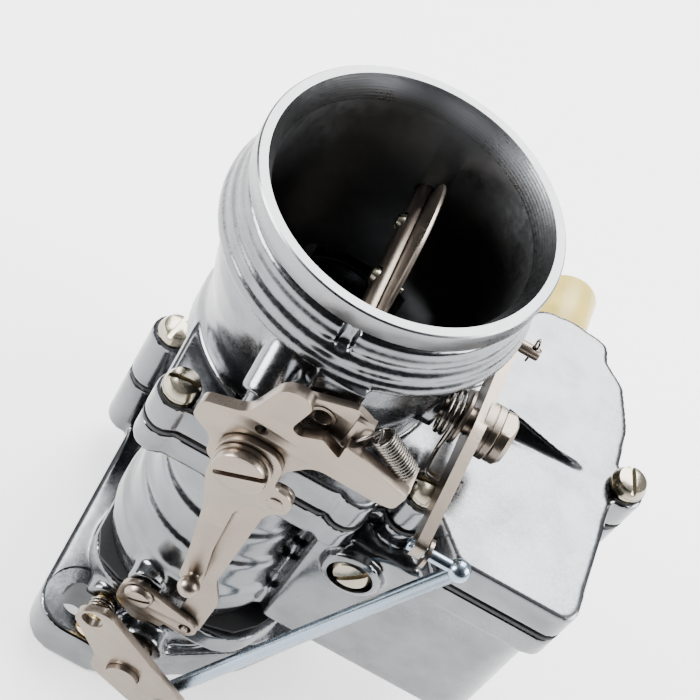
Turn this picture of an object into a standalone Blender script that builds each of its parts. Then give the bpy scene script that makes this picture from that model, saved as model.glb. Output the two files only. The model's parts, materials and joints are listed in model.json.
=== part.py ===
"""Two-barrel downdraft carburetor: cast air horn with bowl cover, main body, throttle body and their linkage.

Lengths are written in millimetres and turned into metres as each mesh is made. +Z is up, +X points
from the air horn to the float bowl, and -Y is the linkage side. The origin is the middle of the underside.
"""

from math import atan2, cos, hypot, pi, sin, tan

import bmesh
import bpy
from mathutils import Matrix, Vector

MM = 0.001
GAP = 0.3

HEIGHT = 150.0
RIM_RADIUS = 33.35
HORN_BORE = 28.5
BORE_Y = 17.5
THROTTLE_BORE = 16.2
VENTURI_THROAT = 12.3
BASE_TOP = 28.0
GASKET = 1.0
BODY_BOTTOM = BASE_TOP + GASKET + 2 * GAP
BODY_TOP = 86.0
COVER_BOTTOM = BODY_TOP + GASKET + 2 * GAP
COVER_TOP = 96.6
CHOKE_X, CHOKE_Z = 4.8, 123.0
CHOKE_RADIUS = 27.2
HUB_X, HUB_Z = -3.5, 104.5
STAR_BACK, STAR_FRONT = -40.5, -43.0
THROTTLE_Z = 14.0
PIVOT_Y, PIVOT_Z = -10.5, 109.5
LEVER_X0, LEVER_X1 = 35.4, 38.0
ROD_Y, ROD_Z = -39.6, 101.3
CAM_X, CAM_Z = -6.5, 40.0
LINK_FOOT_Z = 36.0
LINK_X, LINK_Z = 11.0, 8.0
NEEDLE_X, NEEDLE_Z = -12.0, 20.0
FLOAT_X, FLOAT_Z = 68.5, 80.0
BOWL_LO, BOWL_HI = (46.0, -30.5, 41.0), (71.5, 36.5, BODY_TOP + 5)
STUDS = ((-17.0, -37.3), (-17.0, 37.3), (29.6, 0.0))
COVER_SCREWS = ((-21.7, -31.0), (-21.7, 31.0), (34.5, -23.5), (33.5, 27.0), (76.3, 5.0))
COVER_LOBES = ((21.7, -30.5), (21.7, 30.5))
BASE_SCREW = (-28.2, 19.0)
LOWER_SCREWS = ((22.0, -21.5), (22.0, 21.5))
INLET_X, INLET_Z = 54.0, 73.0
PLUG_X, PLUG_Z = 31.0, 71.6
PLUMB = (32.5, 13.0)


def clear_scene():
    for obj in list(bpy.data.objects):
        bpy.data.objects.remove(obj, do_unlink=True)


def new_collection(name):
    collection = bpy.data.collections.new(name)
    bpy.context.scene.collection.children.link(collection)
    return collection


def material(name, colour, metallic, roughness):
    made = bpy.data.materials.new(name)
    made.use_nodes = True
    shader = made.node_tree.nodes["Principled BSDF"]
    shader.inputs["Base Color"].default_value = (*colour, 1.0)
    shader.inputs["Metallic"].default_value = metallic
    shader.inputs["Roughness"].default_value = roughness
    return made


clear_scene()
PARTS = new_collection("carburetor")
HELPERS = new_collection("cutters")
CASTING = material("polished_casting", (0.72, 0.74, 0.77), 1.0, 0.22)
NICKEL = material("satin_nickel", (0.62, 0.58, 0.53), 1.0, 0.30)
SCREW_METAL = material("screw_nickel", (0.72, 0.69, 0.58), 1.0, 0.25)
ZINC = material("zinc_plate", (0.66, 0.72, 0.78), 1.0, 0.25)
BRASS = material("brass", (0.72, 0.52, 0.22), 1.0, 0.30)
GASKET_PAPER = material("gasket", (0.03, 0.03, 0.03), 0.0, 0.85)
CAP_PLASTIC = material("inlet_cap_plastic", (0.86, 0.74, 0.36), 0.0, 0.40)
LEATHER = material("pump_leather", (0.22, 0.12, 0.06), 0.0, 0.80)


def finish_mesh(name, bm, look=None):
    """Turns millimetre geometry into an object. With no look it is a helper for booleans."""
    bmesh.ops.scale(bm, vec=(MM, MM, MM), verts=bm.verts)
    mesh = bpy.data.meshes.new(name)
    bm.to_mesh(mesh)
    bm.free()
    obj = bpy.data.objects.new(name, mesh)
    return settle(obj, look)


def settle(obj, look):
    if look is None:
        obj.hide_render = True
        obj.display_type = "WIRE"
        HELPERS.objects.link(obj)
        return obj
    PARTS.objects.link(obj)
    obj.data.materials.append(look)
    obj.data.shade_smooth()
    obj.data.set_sharp_from_angle(angle=pi / 6)
    return obj


def box(lo, hi, name="box", look=None):
    bm = bmesh.new()
    size = [b - a for a, b in zip(lo, hi)]
    middle = Vector([(a + b) / 2 for a, b in zip(lo, hi)])
    bmesh.ops.create_cube(bm, size=1.0, matrix=Matrix.Translation(middle) @ Matrix.Diagonal((*size, 1.0)))
    return finish_mesh(name, bm, look)


def rod(start, end, radius, name="rod", look=None, end_radius=None, sides=12):
    """A cylinder or cone from start to end."""
    start, end = Vector(start), Vector(end)
    along = end - start
    turn = along.to_track_quat("Z", "Y").to_matrix().to_4x4()
    bm = bmesh.new()
    bmesh.ops.create_cone(
        bm, cap_ends=True, segments=sides, radius1=radius,
        radius2=radius if end_radius is None else end_radius, depth=along.length,
        matrix=Matrix.Translation((start + end) / 2) @ turn,
    )
    return finish_mesh(name, bm, look)


def upright(x, y, z0, z1, radius, name="upright", look=None, sides=12):
    return rod((x, y, z0), (x, y, z1), radius, name, look, sides=sides)


def across(x, z, y0, y1, radius, name="across", look=None, sides=12):
    return rod((x, y0, z), (x, y1, z), radius, name, look, sides=sides)


def ball(centre, radius, name="ball", look=None, sides=12):
    bm = bmesh.new()
    bmesh.ops.create_uvsphere(
        bm, u_segments=sides, v_segments=sides // 2, radius=radius, matrix=Matrix.Translation(centre)
    )
    return finish_mesh(name, bm, look)


def turned(profile, centre, name="turned", look=None, steps=28, closed=False):
    """A profile of (radius, height) turned about the vertical through centre; it runs down its outer side."""
    mesh = bpy.data.meshes.new(name)
    points = [(r * MM, 0.0, z * MM) for r, z in profile]
    edges = [(i, i + 1) for i in range(len(points) - 1)]
    if closed:
        edges.append((len(points) - 1, 0))
    mesh.from_pydata(points, edges, [])
    obj = bpy.data.objects.new(name, mesh)
    obj.location = (centre[0] * MM, centre[1] * MM, 0.0)
    screw = obj.modifiers.new("turn", "SCREW")
    screw.steps = screw.render_steps = steps
    screw.use_merge_vertices = True
    screw.merge_threshold = 0.00001
    screw.use_smooth_shade = True
    return settle(obj, look)


def corner_arc(before, corner, after, radius, steps=2):
    """The points of a rounded corner; a radius of 0 keeps the corner."""
    if not radius:
        return [corner]
    a = Vector(before) - Vector(corner)
    b = Vector(after) - Vector(corner)
    half = a.angle(b) / 2
    reach = min(radius / tan(half), 0.49 * a.length, 0.49 * b.length)
    radius = reach * tan(half)
    middle = Vector(corner) + (a.normalized() + b.normalized()).normalized() * (radius / sin(half))
    first = Vector(corner) + a.normalized() * reach - middle
    last = Vector(corner) + b.normalized() * reach - middle
    sweep = atan2(first.x * last.y - first.y * last.x, first.dot(last))
    start = atan2(first.y, first.x)
    angles = [start + sweep * i / steps for i in range(steps + 1)]
    return [(middle.x + radius * cos(t), middle.y + radius * sin(t)) for t in angles]


def rounded(corners):
    """An outline from (x, y, radius) corners."""
    points = []
    for i, (x, y, radius) in enumerate(corners):
        before, after = corners[i - 1], corners[(i + 1) % len(corners)]
        points += corner_arc(before[:2], (x, y), after[:2], radius)
    return points


def circle(x, y, radius, sides=14):
    return [(x + radius * cos(2 * pi * i / sides), y + radius * sin(2 * pi * i / sides)) for i in range(sides)]


def slab(loops, low, high, name="slab", look=None, facing="Z"):
    """Flat stock cut to an outline, with any further loops as holes. Facing Y, the loops are (x, z)."""
    curve = bpy.data.curves.new(name, "CURVE")
    curve.dimensions = "2D"
    curve.fill_mode = "BOTH"
    curve.extrude = (high - low) / 2
    for loop in loops:
        spline = curve.splines.new("POLY")
        spline.points.add(len(loop) - 1)
        for point, (x, y) in zip(spline.points, loop):
            point.co = (x, y, 0.0, 1.0)
        spline.use_cyclic_u = True
    holder = bpy.data.objects.new(name, curve)
    HELPERS.objects.link(holder)
    bpy.context.view_layer.update()
    flat = bpy.data.meshes.new_from_object(holder.evaluated_get(bpy.context.evaluated_depsgraph_get()))
    bpy.data.objects.remove(holder)
    bm = bmesh.new()
    bm.from_mesh(flat)
    bpy.data.meshes.remove(flat)
    bmesh.ops.remove_doubles(bm, verts=bm.verts, dist=1e-4)
    middle = (low + high) / 2
    if facing == "Y":
        turn = Matrix(((1, 0, 0, 0), (0, 0, 1, middle), (0, 1, 0, 0), (0, 0, 0, 1)))
    elif facing == "X":
        turn = Matrix(((0, 0, 1, middle), (1, 0, 0, 0), (0, 1, 0, 0), (0, 0, 0, 1)))
    else:
        turn = Matrix.Translation((0, 0, middle))
    bmesh.ops.transform(bm, matrix=turn, verts=bm.verts)
    bmesh.ops.recalc_face_normals(bm, faces=bm.faces)
    return finish_mesh(name, bm, look)


def boolean(obj, operation, tools):
    for tool in tools:
        modifier = obj.modifiers.new(f"{operation.lower()}_{len(obj.modifiers)}", "BOOLEAN")
        modifier.operation = operation
        modifier.solver = "EXACT"
        modifier.object = tool
    return obj


def join(obj, *tools):
    return boolean(obj, "UNION", tools)


def cut(obj, *tools):
    return boolean(obj, "DIFFERENCE", tools)


def wire(points, radius, name, look, sides_resolution=2):
    """A bent wire: a POLY curve with a round bevel and capped ends."""
    curve = bpy.data.curves.new(name, "CURVE")
    curve.dimensions = "3D"
    curve.bevel_depth = radius * MM
    curve.bevel_resolution = sides_resolution
    curve.use_fill_caps = True
    spline = curve.splines.new("POLY")
    spline.points.add(len(points) - 1)
    for point, co in zip(spline.points, points):
        point.co = (co[0] * MM, co[1] * MM, co[2] * MM, 1.0)
    obj = bpy.data.objects.new(name, curve)
    curve.materials.append(look)
    PARTS.objects.link(obj)
    return obj


def helix(start, end, radius, turns, per_turn=10, toward=(1, 0, 0)):
    """Points along a coil about the line from start to end; the last one lies on the side toward."""
    start, end = Vector(start), Vector(end)
    axis = (end - start).normalized()
    side = Vector(toward)
    side = (side - axis * side.dot(axis)).normalized()
    other = axis.cross(side)
    count = round(turns * per_turn)
    points = []
    for i in range(count + 1):
        angle = 2 * pi * (i - count) / per_turn
        points.append(start.lerp(end, i / count) + radius * (cos(angle) * side + sin(angle) * other))
    return points


def slotted_screw(name, head_base, direction, head_radius, head_height, shank_radius, length, look=SCREW_METAL):
    """A cheese-head screw whose head rises along direction from head_base, with a cross slot."""
    base, up = Vector(head_base), Vector(direction).normalized()
    top = base + up * head_height
    obj = rod(base, top, head_radius, name, look, end_radius=head_radius * 0.86, sides=14)
    join(obj, rod(base + up * 0.2, base - up * length, shank_radius, sides=8))
    side = up.orthogonal().normalized()
    slot = bmesh.new()
    size = (2.4 * head_radius, 0.26 * head_radius, 0.8 * head_height)
    frame = Matrix((side, up.cross(side), up)).transposed().to_4x4()
    place = Matrix.Translation(top) @ frame @ Matrix.Diagonal((*size, 1.0))
    bmesh.ops.create_cube(slot, size=1.0, matrix=place)
    return cut(obj, finish_mesh("slot", slot))


def cover_outline(inset=0.0):
    """The lobed outline that the cover, its gasket and the top of the main body share."""
    corners = [
        (-25.6, -31.0, 0), (-22.0, -34.6, 2), (17.0, -34.6, 3), (30.0, -24.8, 3), (40.0, -27.0, 2),
        (47.0, -35.0, 4), (75.6, -35.0, 4), (74.6, 0.0, 8), (72.6, 21.0, 6), (68.6, 31.5, 5),
        (63.0, 36.0, 2), (62.0, 41.0, 4), (52.0, 42.2, 6), (44.0, 41.0, 6), (37.5, 31.0, 6),
        (20.0, 34.6, 4), (-22.0, 34.6, 2), (-25.6, 31.0, 0),
    ]
    return rounded([(x * (1 - inset / 50), y * (1 - inset / 35), r) for x, y, r in corners])


def lobed_plate(name, look, low, high, lobe):
    plate = slab([cover_outline()], low, high, name, look)
    return join(plate, *[upright(x, y, low, high, lobe) for x, y in (*COVER_SCREWS, *COVER_LOBES)])


def screw_holes(low, high, radius=2.5):
    return [upright(x, y, low, high, radius, sides=12) for x, y in COVER_SCREWS]


def throat(low, high, extra=0.0):
    """Cutters for the round air passage and the two venturi mouths under it."""
    passage = [upright(0, 0, low, high, 24.0 + extra, sides=28)]
    return passage + [upright(0, side * BORE_Y, low, high, 13.6 + extra) for side in (-1, 1)]


def horn_outside():
    return turned(
        [
            (0, HEIGHT), (RIM_RADIUS, HEIGHT), (RIM_RADIUS, 144.0), (31.8, 142.6), (30.9, 139.8),
            (31.4, 137.2), (34.0, 135.8), (34.3, 133.2), (35.0, 132.8), (35.0, 130.2), (31.6, 129.2),
            (31.2, 119.0), (29.6, 112.0), (27.9, 105.0), (27.3, 99.0), (28.2, COVER_BOTTOM), (0, COVER_BOTTOM),
        ],
        (0, 0), "air_horn", CASTING,
    )


def horn_inside():
    return turned(
        [
            (0, 155), (33.4, 155), (31.1, HEIGHT), (HORN_BORE, 144.4), (HORN_BORE, 116.5),
            (27.3, 110.5), (25.6, 104.6), (24.4, 100.0), (24.0, 80), (0, 80),
        ],
        (0, 0),
    )


def air_horn():
    horn = horn_outside()
    join(horn, slab([cover_outline()], COVER_BOTTOM, COVER_TOP))
    join(horn, *[upright(x, y, COVER_BOTTOM, COVER_TOP, 5.0) for x, y in (*COVER_SCREWS, *COVER_LOBES)])
    join(
        horn,
        across(CHOKE_X, CHOKE_Z, -36.4, 36.4, 5.4),
        across(HUB_X, HUB_Z, -39.9, -20.0, 6.2),
        rod((-7.6, -37.0, 116.0), (-7.4, -22.0, 128.0), 4.3),
        rod((20.0, PIVOT_Y, PIVOT_Z), (28.2, PIVOT_Y, PIVOT_Z), 5.2),
        upright(*PLUMB, COVER_BOTTOM, 97.4, 5.6),
        slab([[(44, 94), (44, 103.0), (66, 96.7), (66, 94)]], 2.6, 5.0, facing="Y"),
    )
    cut(horn, horn_inside(), *throat(80, 98)[1:])
    cut(horn, box((46.5, -30, 80), (70.5, 36, 92.0)))
    cut(horn, *screw_holes(80, 104))
    cut(
        horn,
        across(CHOKE_X, CHOKE_Z, -50, 50, 3.2, sides=18),
        across(HUB_X, HUB_Z, -50, -29.5, 2.6, sides=12),
        rod((-7.6, -40.0, 113.6), (-7.5, -31.0, 120.8), 2.7, sides=14),
        rod((25.5, PIVOT_Y, PIVOT_Z), (32, PIVOT_Y, PIVOT_Z), 2.5, sides=12),
        upright(*PLUMB, 80, 104, 2.7, sides=14),
    )
    return horn


def paper_gasket():
    gasket = lobed_plate("air_horn_gasket", GASKET_PAPER, BODY_TOP + GAP, BODY_TOP + GAP + GASKET, 4.9)
    cut(gasket, *throat(80, 92, 0.6))
    cut(gasket, box((46.5, -30, 80), (70.5, 36, 92)), upright(*PLUMB, 80, 92, 7.6))
    return cut(gasket, *screw_holes(80, 92))


def barrel_steps(side):
    """A barrel of the main body: rings that grow in steps towards the base."""
    rings = [(0, 82), (17.6, 82), (18.0, 68), (19.6, 66), (19.8, 58), (21.3, 56), (21.4, 47), (22.6, 45)]
    rings += [(22.6, 37.0), (21.4, 35.6), (21.2, BODY_BOTTOM), (0, BODY_BOTTOM)]
    return turned(rings, (0, side * BORE_Y), "ring_barrel", steps=28)


def venturi(side):
    """The air passage of one barrel, narrowest at its throat."""
    rings = [(0, 92), (13.6, 92), (13.6, 80), (VENTURI_THROAT, 68), (VENTURI_THROAT, 62)]
    rings += [(THROTTLE_BORE, 42), (THROTTLE_BORE, 20), (0, 20)]
    return turned(rings, (0, side * BORE_Y), "venturi")


def main_body():
    body = lobed_plate("main_body", CASTING, 78.0, BODY_TOP, 4.9)
    join(body, barrel_steps(-1), barrel_steps(1), box((-20.4, -18, BODY_BOTTOM), (24, 18, 80)))
    join(
        body,
        slab([rounded([(20, -32, 2), (74.4, -32, 7), (74.0, 38, 7), (44, 39, 4), (20, 30, 4)])], 36.0, 80.0),
        upright(76.0, 5.0, 66, 80, 4.6),
        across(PLUG_X, PLUG_Z, -34.8, -24.0, 7.2),
        upright(*BASE_SCREW, BODY_BOTTOM, 48.0, 5.6),
        box((-27, 14.5, BODY_BOTTOM), (-14, 23.5, 46.0)),
        across(INLET_X, INLET_Z, 34.0, 46.0, 8.6),
        across(CAM_X, CAM_Z, -42.6, -30.0, 4.4),
        *[upright(x, y, BODY_BOTTOM, 60.0, 5.4) for x, y in LOWER_SCREWS],
    )
    cut(body, venturi(-1), venturi(1), upright(0, 0, 77.0, 92, 24.0, sides=28))
    cut(body, box(BOWL_LO, BOWL_HI), upright(*PLUMB, 39.0, 92, 7.4), *screw_holes(76, 92))
    cut(body, rod((35.5, 13, 50), (48, 13, 50), 2.0, sides=12))
    cut(
        body,
        across(PLUG_X, PLUG_Z, -40.0, -31.4, 5.4),
        across(PLUG_X, PLUG_Z, -40.0, -26.4, 3.4, sides=14),
        upright(*BASE_SCREW, 20, 60, 2.5, sides=12),
        across(INLET_X, INLET_Z, 33.0, 50.0, 5.6),
        across(CAM_X, CAM_Z, -50, -34.8, 2.0, sides=12),
        *[upright(x, y, 20, 52, 2.4, sides=12) for x, y in LOWER_SCREWS],
    )
    for y in (-14.0, -4.0):
        cut(body, rod((49.0, y, 46.0), (28.0, y, 46.0), 3.4, sides=14))
    cut(body, upright(58.0, -16.0, 38.2, 42.0, 3.1))
    return body


def mirrored(half):
    """A rounded outline that is the same on both sides of y = 0."""
    return rounded(half + [(x, -y, r) for x, y, r in reversed(half)])


def base_gasket():
    low = BASE_TOP + GAP
    outline = mirrored([(-21, -37, 9), (19, -37, 12), (26, -24, 4)])
    gasket = slab([outline], low, low + GASKET, "base_gasket", GASKET_PAPER)
    join(gasket, upright(*BASE_SCREW, low, low + GASKET, 5.4), box((-28, 14.5, low), (-14, 23.5, low + GASKET)))
    cut(gasket, *[upright(0, side * BORE_Y, 20, 40, THROTTLE_BORE + 0.1) for side in (-1, 1)])
    return cut(gasket, *[upright(x, y, 20, 40, 2.5, sides=12) for x, y in (BASE_SCREW, *LOWER_SCREWS)])


def throttle_body():
    outline = [(-26.4, -47.2, 9.8), (-7.2, -47.2, 9.8), (10.0, -38.5, 16.0), (26.0, -28.0, 6.0), (39.6, -10.0, 9.6)]
    base = slab([mirrored(outline)], 0.0, 12.5, "throttle_body", CASTING)
    join(
        base,
        *[upright(0, side * BORE_Y, 6, 24.0, 20.6, sides=28) for side in (-1, 1)],
        slab([mirrored([(-21.4, -38.4, 12), (20, -38.4, 14), (27, -25, 5)])], 20.7, BASE_TOP),
        box((-18.6, -17, 5), (19.4, 17, 23.0)),
        upright(*BASE_SCREW, 8.0, BASE_TOP, 5.6),
        box((-28, 14.5, 8), (-14, 23.5, BASE_TOP)),
        across(0, THROTTLE_Z, -42.9, 42.9, 6.4),
        *[across(NEEDLE_X, NEEDLE_Z, side * 30.0, side * 39.4, 5.2) for side in (-1, 1)],
        *[upright(x, y, 4.5, 26.0, 5.6) for x, y in LOWER_SCREWS],
    )
    cut(base, *[upright(0, side * BORE_Y, -5, 40, THROTTLE_BORE, sides=28) for side in (-1, 1)])
    cut(base, across(0, THROTTLE_Z, -60, 60, 4.3, sides=18))
    cut(base, *[upright(x, y, -5, 20, 4.4, sides=18) for x, y in STUDS])
    cut(base, *[upright(x, y, 11.9, 13.9, 8.6) for x, y in STUDS])
    cut(base, upright(*BASE_SCREW, 12, 40, 2.5, sides=12))
    for x, y in LOWER_SCREWS:
        cut(base, upright(x, y, -5, 5.0, 4.9, sides=18), upright(x, y, 0, 40, 2.4, sides=12))
    return cut(base, *[across(NEEDLE_X, NEEDLE_Z, side * 55, side * 28.5, 2.4, sides=12) for side in (-1, 1)])


def fasteners():
    for number, (x, y) in enumerate(COVER_SCREWS, 1):
        screw = slotted_screw(f"cover_screw_{number}", (x, y, COVER_TOP + 1.4), (0, 0, 1), 4.4, 2.8, 2.1, 20.0)
        join(screw, upright(x, y, COVER_TOP + GAP, COVER_TOP + 1.5, 3.9, sides=14))
    slotted_screw("base_screw", (*BASE_SCREW, 48.3), (0, 0, 1), 4.6, 3.4, 2.1, 34.0)
    for number, (x, y) in enumerate(LOWER_SCREWS, 1):
        slotted_screw(f"lower_screw_{number}", (x, y, 4.7), (0, 0, -1), 4.4, 3.2, 2.0, 40.0)
    slotted_screw("passage_plug", (PLUG_X, -31.7, PLUG_Z), (0, -1, 0), 5.0, 3.4, 3.0, 4.4, BRASS)


def choke():
    """Choke valve, open at rest: a half-round shaft along Y with the plate screwed to its flat."""
    shaft = across(CHOKE_X, CHOKE_Z, -39.2, 35.0, 2.9, "choke_shaft", NICKEL, sides=18)
    cut(shaft, box((CHOKE_X + 0.1, -27.9, CHOKE_Z - 5), (CHOKE_X + 5, 27.9, CHOKE_Z + 5)))
    middle = CHOKE_Z - CHOKE_X
    front, back = (CHOKE_X + 0.4, 0, middle), (CHOKE_X + 1.4, 0, middle)
    plate = rod(front, back, CHOKE_RADIUS, "choke_plate", NICKEL, sides=28)
    screws = (17.2, 0.0, -17.2)
    cut(plate, *[rod((0, y, CHOKE_Z), (12, y, CHOKE_Z), 1.4, sides=12) for y in screws])
    cut(shaft, *[rod((0, y, CHOKE_Z), (12, y, CHOKE_Z), 1.4, sides=12) for y in screws])
    cut(shaft, *[rod((-4, y, CHOKE_Z), (CHOKE_X - 1.9, y, CHOKE_Z), 2.5, sides=12) for y in screws])
    for number, y in enumerate(screws, 1):
        slotted_screw(f"choke_plate_screw_{number}", (CHOKE_X - 2.2, y, CHOKE_Z), (-1, 0, 0), 2.1, 1.7, 1.1, 6.2)


def choke_levers():
    """The levers on the linkage side: shaft lever, star-shaped control lever, ball arm, spring and link."""
    hx, hz = HUB_X, HUB_Z
    lever = slab(
        [rounded([(-1, 117, 5), (-1, 125.6, 4), (2, 127.0, 4), (9.8, 130.2, 1.2), (13.4, 128.4, 1), (15.4, 124.6, 2),
                  (15.4, 118.2, 2), (8, 115.6, 5)]),
         circle(CHOKE_X, CHOKE_Z, 3.2)],
        -39.0, -37.2, "choke_shaft_lever", NICKEL, "Y",
    )
    join(lever, box((11.4, -40.2, 119.2), (13.8, -38.6, 127.2)))
    star = slab(
        [rounded([
            (hx - 7.4, hz - 7.4, 7), (hx - 8.6, hz + 0.2, 4), (hx - 14.1, hz + 3.9, 2.6), (hx - 13.9, hz + 9.5, 2.8),
            (hx - 4.9, hz + 12.9, 5), (hx - 1.4, hz + 25.9, 4.6), (hx + 6.1, hz + 26.3, 3.4),
            (hx + 3.6, hz + 12.9, 2.6),
            (hx + 10.6, hz + 17.1, 0.4), (hx + 15.3, hz + 14.3, 0.4), (hx + 15.1, hz + 18.8, 0.4),
            (hx + 19.0, hz + 18.1, 1), (hx + 31.1, hz + 13.9, 0.8), (hx + 30.3, hz + 8.1, 2), (hx + 26.1, hz + 7.4, 2),
            (hx + 12.5, hz + 7.8, 5), (hx + 8.3, hz + 1.7, 4), (hx + 7.4, hz - 7.4, 7)]),
         circle(hx, hz, 3.9), circle(hx - 0.6, hz + 10.3, 1.5, 10)],
        STAR_FRONT, STAR_BACK, "choke_control_lever", NICKEL, "Y",
    )
    join(star, box((hx + 29.1, -41.5, hz + 12.5), (hx + 31.1, -35.8, hz + 13.6)))
    arm = slab(
        [rounded([
            (hx - 7.2, hz + 7.2, 7), (hx + 7.2, hz + 7.2, 7), (hx + 7.9, hz - 2.9, 2), (hx + 13.3, hz - 3.7, 3.4),
            (hx + 13.2, hz - 11.1, 3.4), (hx + 6.2, hz - 11.4, 4), (hx + 3.9, hz - 17.5, 6), (hx + 5.0, hz - 34.5, 12),
            (hx + 7.6, 54.2, 2.6), (hx + 2.0, 53.2, 2.6), (hx + 0.9, 64.0, 12), (hx - 2.2, hz - 20.5, 12),
            (hx - 5.6, hz - 9.5, 6)]),
         circle(hx, hz, 3.9)],
        -44.8, -43.3, "choke_ball_arm", NICKEL, "Y",
    )
    join(arm, across(hx + 4.8, 57.4, -46.2, -44.0, 1.5, sides=12), ball((hx + 4.8, -47.6, 57.4), 2.6))
    shoulder = slotted_screw("choke_shoulder_screw", (hx, -45.1, hz), (0, -1, 0), 6.3, 3.3, 3.6, 4.9, NICKEL)
    join(shoulder, across(hx, hz, -41.0, -31.0, 2.3, sides=12))
    join(arm, across(hx + 10.0, hz - 7.4, -45.4, -41.0, 1.2, sides=12))
    link_x, foot_z = hx + 10.0, LINK_FOOT_Z - 3.4
    link = slab(
        [rounded([(link_x - 3.2, 100.6, 3), (link_x + 3.2, 100.6, 3), (link_x + 3.2, 94.6, 3), (link_x - 0.1, 88.0, 8),
                  (link_x - 0.1, 57.0, 8), (link_x + 3.2, 49.0, 6), (link_x + 3.2, foot_z, 3),
                  (link_x - 3.2, foot_z, 3),
                  (link_x - 3.2, 49.0, 6), (link_x - 5.6, 57.0, 8), (link_x - 5.6, 89.0, 8), (link_x - 3.2, 95.0, 6)]),
         circle(link_x, hz - 7.4, 1.5, 12)],
        -43.0, -41.8, "fast_idle_link", NICKEL, "Y",
    )
    join(link, across(link_x, LINK_FOOT_Z, -45.4, -42.0, 0.8, sides=10))
    coil = helix((17.6, -38.6, 125.8), (24.9, -38.6, 120.3), 1.6, 9, 8, (0, -1, 0))
    wire(coil, 0.32, "choke_spring", NICKEL, 0)


def fast_idle_cam():
    """The stepped cam that the link turns; it props the throttle open while the choke is closed."""
    x, z = CAM_X, CAM_Z
    foot_x, foot_z = HUB_X + 10.0, LINK_FOOT_Z
    slab(
        [rounded([(x - 4.6, z - 6.0, 4.2), (x - 4.6, z + 4.6, 4.2), (foot_x, foot_z + 3.4, 3),
                  (foot_x + 3.4, foot_z + 1.0, 3), (foot_x + 1.0, foot_z - 3.4, 3), (x + 8.4, z - 6.6, 0),
                  (x + 8.0, z - 8.6, 0), (x + 5.0, z - 8.8, 0), (x + 4.4, z - 10.4, 0), (x + 1.0, z - 10.4, 2)]),
         circle(x, z, 1.9, 12), circle(foot_x, foot_z, 1.55, 12)],
        -44.9, -43.4, "fast_idle_cam", NICKEL, "Y",
    )
    slotted_screw("cam_screw", (x, -45.2, z), (0, -1, 0), 3.6, 1.6, 1.6, 9.8, NICKEL)


def throttle():
    shaft = across(0, THROTTLE_Z, -52.0, 44.0, 4.0, "throttle_shaft", NICKEL, sides=18)
    reach = THROTTLE_BORE - 0.1
    for number, side in enumerate((-1, 1), 1):
        y = side * BORE_Y
        cut(shaft, box((-5, y - reach, THROTTLE_Z - 0.8), (5, y + reach, THROTTLE_Z + 0.8)))
        low, high = THROTTLE_Z - 0.5, THROTTLE_Z + 0.5
        plate = upright(0, y, low, high, reach - 0.15, f"throttle_plate_{number}", BRASS, sides=32)
        holes = [upright(0, y + s * 6.5, 5, 25, 1.5, sides=12) for s in (-1, 1)]
        cut(plate, *holes)
        cut(shaft, *holes)
        for s, letter in ((-1, "a"), (1, "b")):
            head = (0, y + s * 6.5, THROTTLE_Z + 4.2)
            slotted_screw(f"throttle_plate_screw_{number}{letter}", head, (0, 0, 1), 2.6, 1.5, 1.2, 9.0)
    slab(
        [rounded([(7, THROTTLE_Z + 7, 7), (17, THROTTLE_Z - 1, 4), (17, THROTTLE_Z - 11, 4), (4, THROTTLE_Z - 10, 4),
                  (-8, THROTTLE_Z - 4, 6), (-8, THROTTLE_Z + 2, 5), (-18.4, THROTTLE_Z + 15, 4),
                  (-10.6, THROTTLE_Z + 21, 4)]),
         circle(0, THROTTLE_Z, 4.2), circle(-12.8, THROTTLE_Z + 15.4, 2.6, 12), circle(LINK_X, LINK_Z, 1.5, 10)],
        -50.6, -48.6, "throttle_lever", NICKEL, "Y",
    )


def idle_screws():
    """The two idle mixture needles, each with its spring."""
    x, z = NEEDLE_X, NEEDLE_Z
    for number, side in enumerate((-1, 1), 1):
        needle = across(x, z, side * 45.2, side * 48.2, 3.4, f"idle_needle_{number}", BRASS, sides=12)
        join(needle, across(x, z, side * 45.6, side * 34.0, 2.1, sides=12))
        join(needle, rod((x, side * 34.2, z), (x, side * 29.2, z), 2.1, end_radius=0.4, sides=12))
        cut(needle, box((x - 4, side * 48.2 - 1.0, z - 0.4), (x + 4, side * 48.2 + 1.0, z + 0.4)))
        coil = helix((x, side * 40.2, z), (x, side * 44.6, z), 2.9, 4, 10)
        wire(coil, 0.35, f"idle_spring_{number}", SCREW_METAL, 0)


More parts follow.
